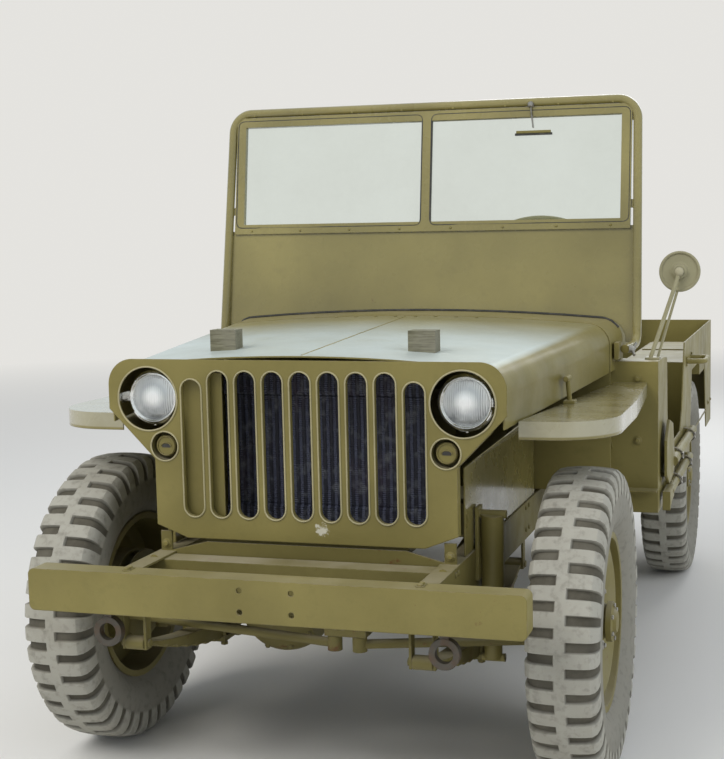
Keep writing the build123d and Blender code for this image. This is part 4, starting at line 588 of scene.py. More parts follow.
def tyre_mesh():
    """A dusty cross-country tyre about the X axis: bars on both sides of a middle rib, half a pitch apart."""
    bm = bmesh.new()
    raised = bm.verts.layers.float.new("raised")
    rings = []
    for lug in range(LUG_COUNT):
        for share, left_up, right_up in PITCH_STATIONS:
            angle = tau * (lug + share) / LUG_COUNT
            half_left = [(*pair[left_up], tyre_height(pair, left_up)) for pair in TYRE_SECTION]
            half_right = [(-pair[right_up][0], pair[right_up][1], tyre_height(pair, right_up))
                          for pair in TYRE_SECTION[-2::-1]]
            ring = []
            for x, r, height in half_left + half_right:
                ring.append(bm.verts.new((x, r * cos(angle), r * sin(angle))))
                ring[-1][raised] = height
            rings.append(ring)
    for ring, after in zip(rings, rings[1:] + rings[:1]):
        for k in range(len(ring) - 1):
            bm.faces.new((ring[k], ring[k + 1], after[k + 1], after[k]))
        bm.faces.new((ring[-1], ring[0], after[0], after[-1]))
    return mesh_from(bm, "tyre")


# node stem, body, place, and the turn about Z of a wheel whose outer face looks to +X
WHEELS = [
    ("front_left", "front_left_wheel", (WHEEL_X, FRONT_AXLE_Y, AXLE_Z), 0),
    ("front_right", "front_right_wheel", (-WHEEL_X, FRONT_AXLE_Y, AXLE_Z), pi),
    ("rear_left", "rear_left_wheel", (WHEEL_X, REAR_AXLE_Y, AXLE_Z), 0),
    ("rear_right", "rear_right_wheel", (-WHEEL_X, REAR_AXLE_Y, AXLE_Z), pi),
    ("spare", "chassis", SPARE_PLACE, pi / 2),
]
WHEEL_NUTS = 5
# width and height
WHEEL_NUT = (0.021, 0.014)
NUT_CIRCLE = 0.0698
HUB_BOLTS = 6
HUB_CIRCLE = 0.040
RIM_FACE = 0.0230
FLANGE_FACE = 0.0655


def wheel_fittings(stem, body, turn):
    """Wheel nuts on their studs, and the hub flange's bolts. turn takes the wheel's own frame to its place."""
    bm = bmesh.new()
    for k in range(WHEEL_NUTS):
        angle = tau * k / WHEEL_NUTS
        spot = Vector((RIM_FACE, NUT_CIRCLE * cos(angle), NUT_CIRCLE * sin(angle)))
        add_bolt(bm, spot, (1, 0, 0), *WHEEL_NUT)
        add_lathe(bm, [(0, 0), (0.006, 0), (0.006, 0.020), (0.004, 0.022), (0, 0.022)], spot, (1, 0, 0), 10)
    for k in range(HUB_BOLTS):
        angle = tau * (k + 0.5) / HUB_BOLTS
        spot = Vector((FLANGE_FACE, HUB_CIRCLE * cos(angle), HUB_CIRCLE * sin(angle)))
        add_bolt(bm, spot, (1, 0, 0), 0.0095, 0.006, False)
    bm.transform(turn)
    piece(stem + "_nuts", bm, "steel", body, 25)


def add_wheels():
    mesh = tyre_mesh()
    for stem, body, place, angle in WHEELS:
        turn = Matrix.Translation(place) @ Matrix.Rotation(angle, 4, "Z")
        copy = mesh.copy()
        copy.transform(turn)
        tyre = finish_piece(stem + "_tread", copy, "tyre", body, 30)
        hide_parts(stem + "_tyre")
        if stem != "spare":
            wheel_fittings(stem, body, turn)


# Fittings

UP, DOWN = Vector((0, 0, 1)), Vector((0, 0, -1))
AHEAD, BACK = Vector((0, -1, 0)), Vector((0, 1, 0))
LEFT = Vector((1, 0, 0))


def mm(x, y, z):
    """A point given in millimetres from the ground under the front axle's middle."""
    return Vector((x / 1000, y / 1000 + FRONT_AXLE_Y, z / 1000))


def tree_of(mesh):
    """The mesh's surface, to cast rays at."""
    return BVHTree.FromPolygons([v.co for v in mesh.vertices], [p.vertices for p in mesh.polygons])


surfaces = {}


def surface(name, start, direction, reach=3.0):
    """The first point of a node's surface from start along direction, or nothing."""
    if name not in surfaces:
        surfaces[name] = tree_of(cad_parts[name].data)
    return surfaces[name].ray_cast(Vector(start), Vector(direction).normalized(), reach)[0]


def spots(node, starts, direction):
    """Where the lines from the starts along direction meet the node's surface."""
    found = [surface(node, start, direction) for start in starts]
    return [spot for spot in found if spot is not None]


def both(points):
    """The points given in millimetres on the left side, and their mirror images."""
    return [p for x, y, z in points for p in (mm(x, y, z), mm(-x, y, z))]


def round_points(centre, across, up, radius, steps=64):
    """Points round a circle in the plane of across and up."""
    return [centre + across * (radius * cos(tau * k / steps)) + up * (radius * sin(tau * k / steps))
            for k in range(steps)]


def turned(name, profile, node, start, out, material, body, steps=32):
    """A turned piece that stands out from the node's surface where a line from start meets it."""
    lathe(name, profile, surface(node, start, -out), out, material, body, steps)


def rivets(name, node, starts, direction, profile, body):
    """Painted round heads on the node's surface."""
    bm = bmesh.new()
    for spot in spots(node, starts, direction):
        add_lathe(bm, profile, spot, -direction, 12)
    piece(name, bm, "olive", body)


def hood_details():
    """The pressed centre line of the hood and the rivets of its long hinge."""
    starts = [mm(0.5, -250 + step * (820 / 32), 1200) for step in range(33)]
    path = [Vector((0, spot.y, spot.z - 0.0015)) for spot in spots("hood", starts, DOWN)]
    tube("hood_crease", path, 0.0030, "olive", "hood", sides=10)
    rivets("hood_rivets", "hood", [mm(x, 575, 1200) for x in range(-210, 211, 60)], DOWN,
           [(0, 0), (0.0055, 0), (0.0048, 0.0018), (0.0025, 0.0028), (0, 0.0030)], "hood")


def marker_lamps():
    """The hooded slot of each marker lamp, the dark glass behind it and the cup behind the grille."""
    bm, glass = bmesh.new(), bmesh.new()
    ring = [(0.0205, 0), (0.0235, 0), (0.0235, 0.0022), (0.0220, 0.0030), (0.0205, 0.0022), (0.0205, 0)]
    for start in both([(MARKER_X, -400, MARKER_Z)]):
        centre = surface("small_lamps", start, BACK)
        add_block(glass, centre + Vector((-0.010, -0.0008, -0.0045)), centre + Vector((0.010, 0.001, 0.0045)))
        arc = []
        for k in range(13):
            angle = radians(15 + 150 * k / 12)
            arc.append(centre + Vector((0.0135 * cos(angle), -0.0015, 0.0115 * sin(angle) - 0.004)))
        add_tube(bm, arc, 0.0016, 8)
        add_lathe(bm, ring, centre, AHEAD, 36)
    piece("marker_hoods", bm, "olive")
    piece("marker_slots", glass, "gasket")
    cups = bmesh.new()
    profile = [(0.036, 0.0), (0.036, 0.030), (0.0, 0.036), (0.0, 0.033), (0.033, 0.028), (0.033, 0.0)]
    for place in both([(MARKER_X, -263.5, MARKER_Z)]):
        add_lathe(cups, profile, place, BACK, 32)
    piece("lamp_cups", cups, "olive_dirty", "chassis", 50)


GRILLE_FACE_Y = -268.6
SLOT_PITCH = 68
SLOT_FOOT = 638.5
SLOT_EDGE = 26.5
EDGE_RADIUS = 0.0021
# x, z and radius of the holes over the lamps
LAMP_HOLES = [(LAMP_X, LAMP_Z, 76.0), (MARKER_X, MARKER_Z, 35.0)]


def slot_path(x, top):
    """A slot's outline on the grille's face, round at both ends."""
    path = []
    for z, start in ((top - SLOT_EDGE, 0), (SLOT_FOOT + SLOT_EDGE, 180)):
        for k in range(13):
            angle = radians(start + 15 * k)
            path.append(mm(x + SLOT_EDGE * cos(angle), GRILLE_FACE_Y, z + SLOT_EDGE * sin(angle)))
    return path


def grille_edges():
    """The rolled edges of the grille's slots and of its lamp holes, in pale paint that is a painted highlight, and
    below it a darker strip that is painted shade in the gap there.
    """
    bm = bmesh.new()
    for number in range(-4, 5):
        top = 966.5 if abs(number) == 4 else 986.5
        add_tube(bm, slot_path(number * SLOT_PITCH, top), EDGE_RADIUS, 10, closed=True)
    for x, z, radius in LAMP_HOLES:
        for centre in both([(x, GRILLE_FACE_Y, z)]):
            add_tube(bm, round_points(centre, LEFT, UP, radius / 1000), EDGE_RADIUS, 10, closed=True)
    # The rolled edges' pale paint is a painted highlight.
    piece("grille_edges", bm, "rolled", "chassis", 60)
    # Painted shade: a darker strip put in the shaded gap between the grille's foot and the bumper.
    strip = bmesh.new()
    add_block(strip, mm(-250, -256, 560), mm(250, -253, 596))
    piece("gap_shade_strip", strip, "olive_dirty", "chassis", 35, 0.0005)


def tail_lamps():
    """Rear lamps: a rim, a stop lens above and hooded slots below."""
    rims, lenses, slots = bmesh.new(), bmesh.new(), bmesh.new()
    ring = [(0.0255, 0), (0.0290, 0), (0.0290, 0.0025), (0.0270, 0.0035), (0.0255, 0.0025), (0.0255, 0)]
    for centre in spots("small_lamps", both([(672, 2900, 630)]), AHEAD):
        add_lathe(rims, ring, centre, BACK, 40)
        add_block(lenses, centre + Vector((-0.017, -0.001, 0.0025)), centre + Vector((0.017, 0.0012, 0.0155)))
        for x in (-0.0105, 0.0035):
            add_block(slots, centre + Vector((x, -0.001, -0.0130)), centre + Vector((x + 0.007, 0.0012, -0.0070)))
    piece("tail_lamp_rims", rims, "olive")
    piece("tail_lenses", lenses, "red_glass")
    piece("tail_slots", slots, "gasket")


def headlamp_details():
    """The bezel's clamp screw and the rolled step inside it."""
    bm = bmesh.new()
    ring = [(0.0545, -0.001), (0.0575, 0.0022), (0.0605, 0.0010), (0.0612, -0.001)]
    for centre in both([(LAMP_X, -242, LAMP_Z)]):
        add_lathe(bm, ring, centre, AHEAD, 48)
        add_bolt(bm, centre + Vector((0, 0.010, -0.0655)), DOWN, 0.006, 0.003, False)
    piece("headlamp_rings", bm, "chrome")


PLANE_LEAN = radians(8)
PLANE_OUT = Vector((0, -cos(PLANE_LEAN), sin(PLANE_LEAN)))
PANE_FOOT_Y, PANE_FOOT_Z = 762, 1046
PANE_INNER_X, PANE_OUTER_X = 14, 612
PANE_LOW, PANE_HIGH = 278, 612


def on_windshield(x, up, out=0.0):
    """A point on the windshield, up the glass from its lower edge and out towards the front, in millimetres."""
    y = PANE_FOOT_Y + up * sin(PLANE_LEAN) - out * cos(PLANE_LEAN)
    z = PANE_FOOT_Z + up * cos(PLANE_LEAN) + out * sin(PLANE_LEAN)
    return mm(x, y, z)


def windshield_details():
    """Seals round both panes and screws round the frame."""
    seal = bmesh.new()
    for x0, x1 in ((-PANE_OUTER_X, -PANE_INNER_X), (PANE_INNER_X, PANE_OUTER_X)):
        corners = [(x0, PANE_LOW), (x1, PANE_LOW), (x1, PANE_HIGH), (x0, PANE_HIGH)]
        path = [on_windshield(x, z, 5) for x, z in corners]
        middle = (path[0] + path[1]) / 2
        loop = rounded_path([middle, *path[1:], path[0], middle], 0.02, 5)
        add_tube(seal, loop[:-1], 0.0035, 8, closed=True)
    piece("pane_seals", seal, "gasket", "windshield")
    starts = [on_windshield(x, up, 200) for x in range(-560, 561, 160) for up in (268, 628)]
    rivets("windshield_screws", "windshield_frame", starts, -PLANE_OUT,
           [(0, 0), (0.0040, 0), (0.0034, 0.0014), (0, 0.0020)], "windshield")


def wiper():
    """The hand-worked wiper at the top of the driver's pane."""
    lathe("wiper_knob", [(0, -0.004), (0.009, -0.004), (0.010, 0.004), (0.008, 0.010), (0.004, 0.013), (0, 0.0135)],
          on_windshield(318, 628, 8), PLANE_OUT, "steel", "windshield", 24)
    tube("wiper_arm", [on_windshield(318, 626, 14), on_windshield(321, 600, 12), on_windshield(326, 560, 9)],
         0.0026, "steel", "windshield", 0.01, 8)
    turn = Matrix.Translation(on_windshield(327, 548, 7)) @ Matrix.Rotation(-PLANE_LEAN, 4, "X")
    for name, low, high, material, bevel in (
            ("wiper_holder", (-0.052, -0.003, -0.004), (0.052, 0.001, 0.004), "olive", 0.001),
            ("wiper_blade", (-0.056, -0.001, -0.010), (0.056, 0.002, -0.003), "gasket", 0.0006)):
        bm = bmesh.new()
        add_block(bm, low, high, turn)
        piece(name, bm, material, "windshield", 35, bevel)


def wing_nuts():
    """A wing nut at each of the windshield's pivots."""
    bm = bmesh.new()
    for side in (1, -1):
        out = side * LEFT
        spot = surface("windshield_frame", mm(side * 900, 645, 965), -out)
        add_lathe(bm, [(0, 0), (0.011, 0), (0.009, 0.010), (0.005, 0.016), (0, 0.016)], spot, out, 20)
        for angle in (35, 215):
            lean = Vector((0, cos(radians(angle)), sin(radians(angle))))
            tip = spot + out * 0.016 + lean * 0.026
            add_tube(bm, [spot + out * 0.007, spot + out * 0.012 + lean * 0.015, tip], 0.0042, 10)
    piece("pivot_wing_nuts", bm, "steel", "windshield", 40)


COWL_TOP = 0.93


def cowl_seal():
    """The rubber strip between the windshield's sheet and the arched cowl."""
    starts = [mm(-590 + step * (1180 / 60), 730, 1300) for step in range(61)]
    path = [spot + UP * 0.002 for spot in spots("body_tub", starts, DOWN) if spot.z > COWL_TOP]
    tube("cowl_seal", path, 0.0042, "gasket", "chassis", sides=8)


def mirror_details():
    """The mirror's glass behind, and the pale rolled rim and stud boss on its dished back."""
    rim = bmesh.new()
    back = surface("mirror", mm(MIRROR_X, 500, MIRROR_Z + 40), BACK)
    centre = mm(MIRROR_X, 0, MIRROR_Z)
    centre.y = back.y + 0.002
    add_tube(rim, round_points(centre, LEFT, UP, 0.0548), 0.0026, 8, closed=True)
    boss = surface("mirror", mm(MIRROR_X, 500, MIRROR_Z), BACK)
    add_lathe(rim, [(0, -0.001), (0.013, -0.001), (0.012, 0.003), (0.007, 0.006), (0, 0.0065)], boss, AHEAD, 24)
    piece("mirror_rim", rim, "olive_pale", "chassis", 50)
    turned("mirror_glass", [(0, 0.0003), (0.0520, 0.0003), (0.0520, 0.0012), (0.0505, 0.0020), (0, 0.0026)],
           "mirror", mm(MIRROR_X, 900, MIRROR_Z), BACK, "mirror_glass", "chassis", 48)


# x, z and radius of each dial and of each knob on the dashboard
DIALS = [(0, 962, 39), (-66, 992, 23), (-66, 932, 23), (66, 992, 23), (66, 932, 23)]
KNOBS = [(125, 990, 8), (125, 950, 8), (165, 970, 7), (205, 970, 9), (-120, 962, 7), (480, 960, 8), (520, 960, 8)]


def dashboard_details():
    """Instruments with rims and ticks, knobs, and the glove box's button."""
    rims, knobs = bmesh.new(), bmesh.new()
    for number, (x, z, radius) in enumerate(DIALS):
        start = mm(x, 1000, z)
        spot = surface("dashboard", start, AHEAD)
        r = radius / 1000
        ring = [(r - 0.004, 0), (r, 0), (r, 0.004), (r - 0.002, 0.006), (r - 0.004, 0.004), (r - 0.004, 0)]
        add_lathe(rims, ring, spot, BACK, 40)
        turned("dial_%d" % number, [(0, 0.0002), (r - 0.003, 0.0002), (r - 0.003, 0.0018), (0, 0.0018)],
               "dashboard", start, BACK, "dial", "chassis", 40)
        angle = radians(150 - 35 * number)
        lean = Vector((cos(angle), 0, sin(angle)))
        pin = spot + BACK * 0.0030
        tube("needle_%d" % number, [pin - lean * r * 0.2, pin + lean * r * 0.7], 0.0007, "steel", "chassis",
             sides=6, sharp=35)
    piece("dial_rims", rims, "black")
    for x, z, radius in KNOBS:
        r = radius / 1000
        add_lathe(knobs, [(0, 0), (r * 1.25, 0), (r * 1.25, 0.002), (r * 0.45, 0.003), (r * 0.45, 0.012),
                          (r, 0.014), (r, 0.022), (r * 0.8, 0.025), (0, 0.025)],
                  surface("dashboard", mm(x, 1000, z), AHEAD), BACK, 24)
    piece("dash_knobs", knobs, "black")
    turned("glove_box_button", [(0, 0), (0.011, 0), (0.011, 0.003), (0.006, 0.005), (0.007, 0.012), (0, 0.013)],
           "glove_box_lid", mm(-330, 1000, 1000), BACK, "steel", "glove_box_lid", 24)


COLUMN_LEAN = radians(40)
WHEEL_MIDDLE = (335, 1010, 1175)


def caps():
    """The horn button on the tilted column, the fuel tank's filler cap and the radiator's cap."""
    along = Vector((0, sin(COLUMN_LEAN), cos(COLUMN_LEAN)))
    turned("horn_button", [(0, 0), (0.024, 0), (0.024, 0.004), (0.020, 0.010), (0.012, 0.013), (0, 0.014)],
           "steering_wheel", mm(*WHEEL_MIDDLE) + along * 0.3, along, "black", "steering_wheel")
    low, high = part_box("fuel_tank")
    lathe("fuel_cap", [(0, 0), (0.028, 0), (0.028, 0.006), (0.024, 0.010), (0.008, 0.012), (0, 0.012)],
          Vector((high[0] - 0.06, low[1] + 0.07, high[2])), UP, "steel", "chassis", 32)
    turned("radiator_cap", [(0, 0), (0.027, 0), (0.027, 0.006), (0.022, 0.010), (0, 0.011)],
           "radiator", mm(0, -92, 1100), UP, "steel", "chassis")


# Bolts that show on the nose, fenders, cowl, tub and frame: piece, node they stand on, where their lines start
# on the left side in millimetres, the lines' direction, width and height of the head
BODY_BOLTS = [
    ("cowl_bolts", "body_tub", [(655, 600, 800), (655, 600, 706), (655, 600, 880), (590, 600, 560)], BACK,
     0.013, 0.006),
    ("foot_bolts", "chassis_frame", [(350, -400, 548), (350, -400, 572)], BACK, 0.012, 0.006),
    ("bumper_bolts_top", "bumpers", [(341, -478, 700), (341, -462, 700)], DOWN, 0.011, 0.005),
    ("fender_bolts", "front_fenders", [(500, y, 1000) for y in (-60, 80, 230, 380)], DOWN, 0.010, 0.004),
    ("rear_panel_bolts", "body_tub",
     [(x, 3000, z) for x in (668, 690) for z in (700, 880)] + [(360, 3000, 590), (480, 3000, 590)], AHEAD,
     0.011, 0.005),
    ("floor_bolts", "body_tub", [(x, y, 700) for x in (200, 600) for y in (1110, 1500, 1590)], DOWN,
     0.012, 0.003),
]
# The same for rows on each side panel, whose lines run inwards
SIDE_BOLTS = [
    ("sill_bolts", [(900, y, 590) for y in (700, 780, 860, 1700, 2480, 2600)], 0.010),
    ("handle_screws", [(900, y, z) for y in (1506, 1694) for z in (838, 862)], 0.009),
]


def stand_bolts(name, node, starts, direction, size, height):
    """Painted bolts whose heads stand on the node's surface."""
    bm = bmesh.new()
    for spot in spots(node, starts, direction):
        add_bolt(bm, spot, -direction, size, height)
    piece(name, bm, "olive", "chassis", 25)


def body_bolts():
    for name, node, starts, direction, size, height in BODY_BOLTS:
        stand_bolts(name, node, both(starts), direction, size, height)
    for name, starts, size in SIDE_BOLTS:
        for side, word in ((1, "left"), (-1, "right")):
            points = [mm(side * x, y, z) for x, y, z in starts]
            stand_bolts("%s_%s" % (name, word), "body_tub", points, -side * LEFT, size, 0.004)


RAIL_FACE = 0.3
RIVET_PLACES = [(450, y, z) for y in (-300, -280, 460, 500, 1120, 1180, 1590, 1630, 2560, 2600) for z in (478, 540)]


def frame_rivets():
    """Rivets along the frame rails."""
    bm = bmesh.new()
    head = [(0, 0), (0.007, 0), (0.006, 0.0028), (0.003, 0.0045), (0, 0.0048)]
    for side in (1, -1):
        for spot in spots("chassis_frame", [mm(side * x, y, z) for x, y, z in RIVET_PLACES], -side * LEFT):
            if abs(spot.x) > RAIL_FACE:
                add_lathe(bm, head, spot, side * LEFT, 12)
    piece("frame_rivets", bm, "olive_dirty")


COVER_CIRCLE = 0.098
# y from the axle and z of a U-bolt's ends and corners
U_BOLT = [(-43, 262), (-43, 409), (43, 409), (43, 262)]


def axle_bolts():
    """Bolts round the differentials' covers, and the U-bolts that hold each axle to its springs."""
    covers, bm = bmesh.new(), bmesh.new()
    for node, y, out in (("front_axle", 0, AHEAD), ("rear_axle", WHEELBASE, BACK)):
        middle = mm(DIFFERENTIAL_X, y, 1000 * AXLE_Z) + out * 0.4
        for spot in spots(node, round_points(middle, LEFT, UP, COVER_CIRCLE, 10), -out):
            add_bolt(covers, spot, out, 0.013, 0.007, False)
        for x in (SPRING_X, -SPRING_X):
            for shift in (-26, 26):
                legs = [mm(x + shift, y + along, z) for along, z in U_BOLT]
                add_tube(bm, rounded_path(legs, 0.040), 0.0055, 8)
                for leg in (legs[0], legs[3]):
                    add_bolt(bm, leg + UP * 0.006, DOWN, 0.017, 0.008, False)
    piece("differential_bolts", covers, "olive_dirty")
    piece("spring_u_bolts", bm, "olive_dirty")


# y, z and half height of each strap round the tools' handles, and the four sides of its buckle as y, y, z, z
STRAPS = [(1000, 610, 19), (1420, 610, 19), (960, 540, 17), (1300, 540, 17)]
BUCKLE = [(-14, 14, 4, 10), (-14, 14, -10, -4), (-14, -10, -10, 10), (10, 14, -10, 10)]


def tool_straps():
    """Webbing straps with buckles round the shovel's and the axe's handles."""
    straps, buckles = bmesh.new(), bmesh.new()
    for y, z, depth in STRAPS:
        rows = []
        for k in range(25):
            angle = radians(-90 + 180 * k / 24)
            x, height = 731 - 18 + 37 * max(0.0, cos(angle)), z + (depth + 3) * sin(angle)
            rows.append([straps.verts.new(mm(x, y + edge, height)) for edge in (-11, 11)])
        for low, high in zip(rows, rows[1:]):
            straps.faces.new((low[0], low[1], high[1], high[0]))
        for y0, y1, z0, z1 in BUCKLE:
            add_block(buckles, mm(748, y + y0, z + z0), mm(752, y + y1, z + z1))
    strap = piece("tool_straps", straps, "webbing", "chassis", 60)
    thicken = strap.modifiers.new("thickness", "SOLIDIFY")
    thicken.thickness, thicken.offset = 0.0024, 1
    piece("strap_buckles", buckles, "steel", "chassis", 35, 0.001)


def spare_nuts():
    """Nuts that hold the spare wheel on its carrier."""
    bm = bmesh.new()
    starts = []
    for k in range(WHEEL_NUTS):
        angle = tau * k / WHEEL_NUTS + radians(18)
        starts.append(Vector(SPARE_PLACE) + Vector((NUT_CIRCLE * cos(angle), 0.5, NUT_CIRCLE * sin(angle))))
    for spot in spots("spare_rim", starts, AHEAD):
        add_bolt(bm, spot, BACK, *WHEEL_NUT)
    piece("spare_nuts", bm, "steel", "chassis", 25)


def add_fittings():
    for make in (hood_details, marker_lamps, grille_edges, tail_lamps, headlamp_details, windshield_details, wiper,
                 wing_nuts, cowl_seal, mirror_details, dashboard_details, body_bolts, frame_rivets, axle_bolts,
                 tool_straps, spare_nuts, caps):
        make()


# Cushions

# How much smaller the slack box is than its cushion on each side, and how far the cloth may swell
PILLOW_INSET = Vector((0.008, 0.008, 0.015))
PILLOW_MOVE = 0.020
PRESSURE = 7.0
CLOTH_FRAMES = 20
WELT_SHARE = 0.54


def evaluated(obj):
    """The object's mesh with its modifiers applied."""
    depsgraph = bpy.context.evaluated_depsgraph_get()
    return bpy.data.meshes.new_from_object(obj.evaluated_get(depsgraph))


def pillow_mesh(name, size, voxel):
    """A stuffed cushion about its own middle: a slack box of cloth, blown up until it crowns."""
    half = Vector(size) / 2
    bm = bmesh.new()
    add_block(bm, PILLOW_INSET - half, half - PILLOW_INSET)
    mesh = mesh_from(bm, name)
    obj = new_object(name, mesh)
    corner = obj.modifiers.new("corner", "BEVEL")
    corner.width, corner.segments = min(size) * 0.30, 4
    remesh = obj.modifiers.new("remesh", "REMESH")
    remesh.mode, remesh.voxel_size = "VOXEL", voxel
    obj.data = evaluated(obj)
    obj.modifiers.clear()
    start = [v.co.copy() for v in obj.data.vertices]
    cloth = obj.modifiers.new("cloth", "CLOTH")
    cloth.settings.quality = 4
    cloth.settings.use_pressure = True
    cloth.settings.uniform_pressure_force = PRESSURE
    cloth.settings.effector_weights.gravity = 0.0
    cloth.point_cache.frame_start, cloth.point_cache.frame_end = 1, CLOTH_FRAMES
    for step in range(1, CLOTH_FRAMES + 1):
        bpy.context.scene.frame_set(step)
    blown = evaluated(obj)
    obj.modifiers.clear()
    bpy.context.scene.frame_set(1)
    for vertex, before, after in zip(obj.data.vertices, start, blown.vertices):
        move = after.co - before
        if move.length > PILLOW_MOVE:
            move = move.normalized() * PILLOW_MOVE
        vertex.co = before + move
    low, high = -half, half
    for vertex in obj.data.vertices:
        vertex.co = Vector(min(max(c, a), b) for c, a, b in zip(vertex.co, low, high))
    smooth = obj.modifiers.new("smooth", "SUBSURF")
    smooth.levels = smooth.render_levels = 1
    result = evaluated(obj)
    bpy.data.objects.remove(obj)
    return result


def welt(tree, size, level, steps=120):
    """Points of the sewn welt round a cushion at one height, on its surface."""
    path = []
    for k in range(steps):
        angle = tau * k / steps
        along = Vector((cos(angle) * size[0], sin(angle) * size[1], 0))
        spot, _, _, _ = tree.ray_cast(along + Vector((0, 0, level)), -along)
        if spot is not None:
            path.append(spot)
    return path


def solids_of(name):
    """The corner points of each separate solid of a node, lowest solid first."""
    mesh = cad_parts[name].data
    group = list(range(len(mesh.vertices)))

    def root(k):
        while group[k] != k:
            group[k] = group[group[k]]
            k = group[k]
        return k

    at = {}
    for vertex in mesh.vertices:
        key = tuple(round(c, 5) for c in vertex.co)
        group[root(vertex.index)] = root(at.setdefault(key, vertex.index))
    for edge in mesh.edges:
        a, b = edge.vertices
        group[root(a)] = root(b)
    found = {}
    for vertex in mesh.vertices:
        found.setdefault(root(vertex.index), []).append(vertex.co.copy())
    return sorted(found.values(), key=lambda points: sum(p.z for p in points) / len(points))


def pad_frame(points, lean):
    """The turn and middle of a pad that leans back, and its size across, along and through."""
    turn = Matrix.Rotation(radians(90 - lean), 4, "X") if lean is not None else Matrix.Identity(4)
    local = [turn.inverted() @ p for p in points]
    low = Vector(min(p[k] for p in local) for k in range(3))
    high = Vector(max(p[k] for p in local) for k in range(3))
    return Matrix.Translation(turn @ ((low + high) / 2)) @ turn, tuple(high - low)


# piece, node, which solid, lean of a back or nothing for a seat, body, voxel
PADS = [
    ("driver_seat_pad", "driver_seat_cushions", 0, None, "chassis", 0.009),
    ("driver_back_pad", "driver_seat_cushions", 1, 14, "chassis", 0.009),
    ("passenger_seat_pad", "passenger_seat_cushions", 0, None, "passenger_seat", 0.009),
    ("passenger_back_pad", "passenger_seat_cushions", 1, 14, "passenger_seat", 0.009),
    ("rear_seat_pad", "rear_seat_cushion", 0, None, "chassis", 0.010),
    ("rear_back_pad", "rear_seat_back", 0, 12, "rear_seat_back", 0.010),
]


def add_cushions():
    made = {}
    for name, node, number, lean, body, voxel in PADS:
        place, size = pad_frame(solids_of(node)[number], lean)
        key = tuple(round(c, 3) for c in size)
        if key not in made:
            made[key] = pillow_mesh(name, size, voxel)
        mesh = made[key].copy()
        tree = tree_of(mesh)
        seams = bmesh.new()
        crown = max(v.co.z for v in mesh.vertices)
        for share in (WELT_SHARE, -WELT_SHARE):
            path = [place @ p for p in welt(tree, size, crown * share)]
            add_tube(seams, path, 0.0028, 8, closed=True)
        mesh.transform(place)
        pad = finish_piece(name, mesh, "canvas", body, 60)
        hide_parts(node)
        piece(name + "_welt", seams, "canvas", body, 60)


# Stage

CAMERA_PLACE = Vector((1.131, -3.149 + FRONT_AXLE_Y, 1.291))
CAMERA_YAW, CAMERA_PITCH, CAMERA_ROLL = -0.270, 0.106, -0.016
CAMERA_FOCAL_PIXELS = 1356
CAMERA_SHIFT_X = -0.103
IMAGE_HEIGHT = 759
SENSOR = 36


def add_camera():
    data = bpy.data.cameras.new("camera")
    camera = new_object("camera", data)
    ahead = Vector((sin(CAMERA_YAW) * cos(CAMERA_PITCH), cos(CAMERA_YAW) * cos(CAMERA_PITCH), -sin(CAMERA_PITCH)))
    right = Vector((cos(CAMERA_YAW), -sin(CAMERA_YAW), 0))
    up = right.cross(ahead)
    right, up = (right * cos(CAMERA_ROLL) + up * sin(CAMERA_ROLL),
                 up * cos(CAMERA_ROLL) - right * sin(CAMERA_ROLL))
    camera.matrix_world = Matrix.Translation(CAMERA_PLACE) @ Matrix((right, up, -ahead)).transposed().to_4x4()
    data.sensor_width = SENSOR
    data.lens = SENSOR * CAMERA_FOCAL_PIXELS / IMAGE_HEIGHT
    data.shift_x = CAMERA_SHIFT_X
    data.clip_end = 100
    bpy.context.scene.camera = camera


BACKDROP = (0.78, 0.77, 0.74)
MIRRORED = (0.74, 0.80, 0.82)
SKY = (0.80, 0.85, 0.92)


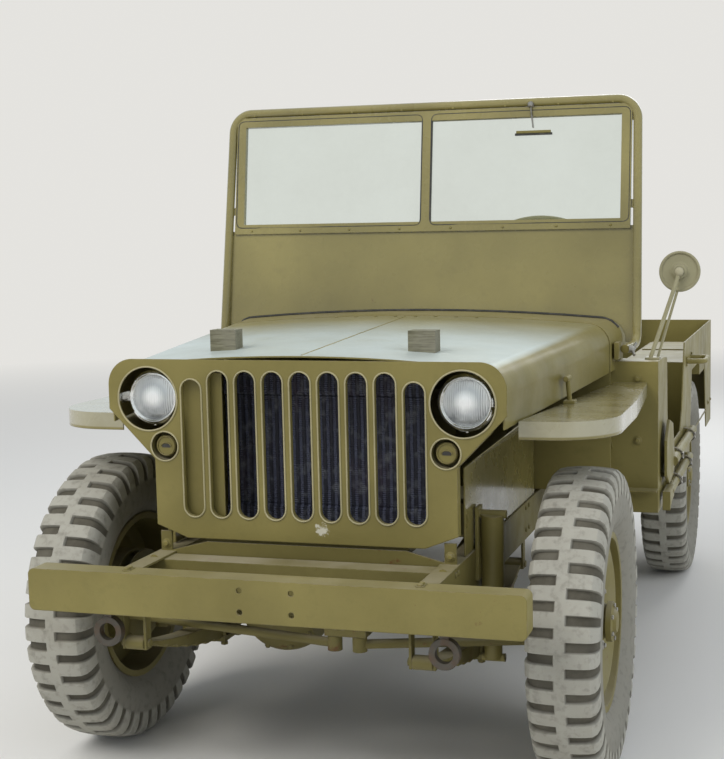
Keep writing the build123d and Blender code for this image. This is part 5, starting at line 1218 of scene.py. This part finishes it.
def floor_material():
    """Pale floor near the object that passes into the backdrop's colour far from it."""
    material, tree, shader = new_material("pale_floor")
    dress(shader, Base_Color=BACKDROP, Roughness=0.9)
    glow = add_node(tree, "ShaderNodeEmission", Color=BACKDROP)
    far = ramp(tree, length(tree, object_place(tree)), 3.5, 11.0)
    put(tree.nodes["Material Output"], "Surface", shader_mix(tree, far, shader.outputs[0], glow.outputs[0]))
    return material


def add_world():
    """Soft sky light, with a plain pale backdrop for the camera and for reflections."""
    world = bpy.data.worlds.new("studio")
    bpy.context.scene.world = world
    world.use_nodes = True
    tree = world.node_tree
    sky = tree.nodes["Background"]
    dress(sky, Color=SKY, Strength=0.50)
    rays = add_node(tree, "ShaderNodeLightPath").outputs
    shown = maths(tree, "MAXIMUM", rays["Is Camera Ray"], rays["Is Transmission Ray"])
    light = sky.outputs[0]
    for colour, chosen in ((MIRRORED, rays["Is Glossy Ray"]), (BACKDROP, shown)):
        plain = add_node(tree, "ShaderNodeBackground", Color=colour)
        light = shader_mix(tree, chosen, light, plain.outputs[0])
    put(tree.nodes["World Output"], "Surface", light)


LIT_POINT = Vector((0, 0, 0.6))
# name, place, size, power, colour
LIGHTS = [
    ("key", (-2.5, -4.5, 5.0), 4.0, 260, (1.0, 0.97, 0.92)),
    ("fill", (4.5, -2.5, 3.5), 3.5, 110, (0.93, 0.96, 1.0)),
    ("back", (0.5, 5.0, 4.5), 4.0, 150, (1.0, 1.0, 1.0)),
]


def add_stage():
    bpy.ops.mesh.primitive_plane_add(size=120, location=(0, 0, 0))
    floor = bpy.context.object
    floor.name = "floor"
    floor.data.materials.append(floor_material())
    add_world()
    for name, place, size, power, colour in LIGHTS:
        light = bpy.data.lights.new(name, "AREA")
        light.size, light.energy, light.color = size, power, colour
        obj = new_object(name, light)
        obj.location = place
        obj.visible_glossy = name == "back"
        obj.rotation_euler = (LIT_POINT - Vector(place)).to_track_quat("-Z", "Y").to_euler()
    bpy.context.scene.view_settings.view_transform = "Standard"


dress_nodes()
add_wheels()
add_fittings()
add_cushions()
add_stage()
add_camera()
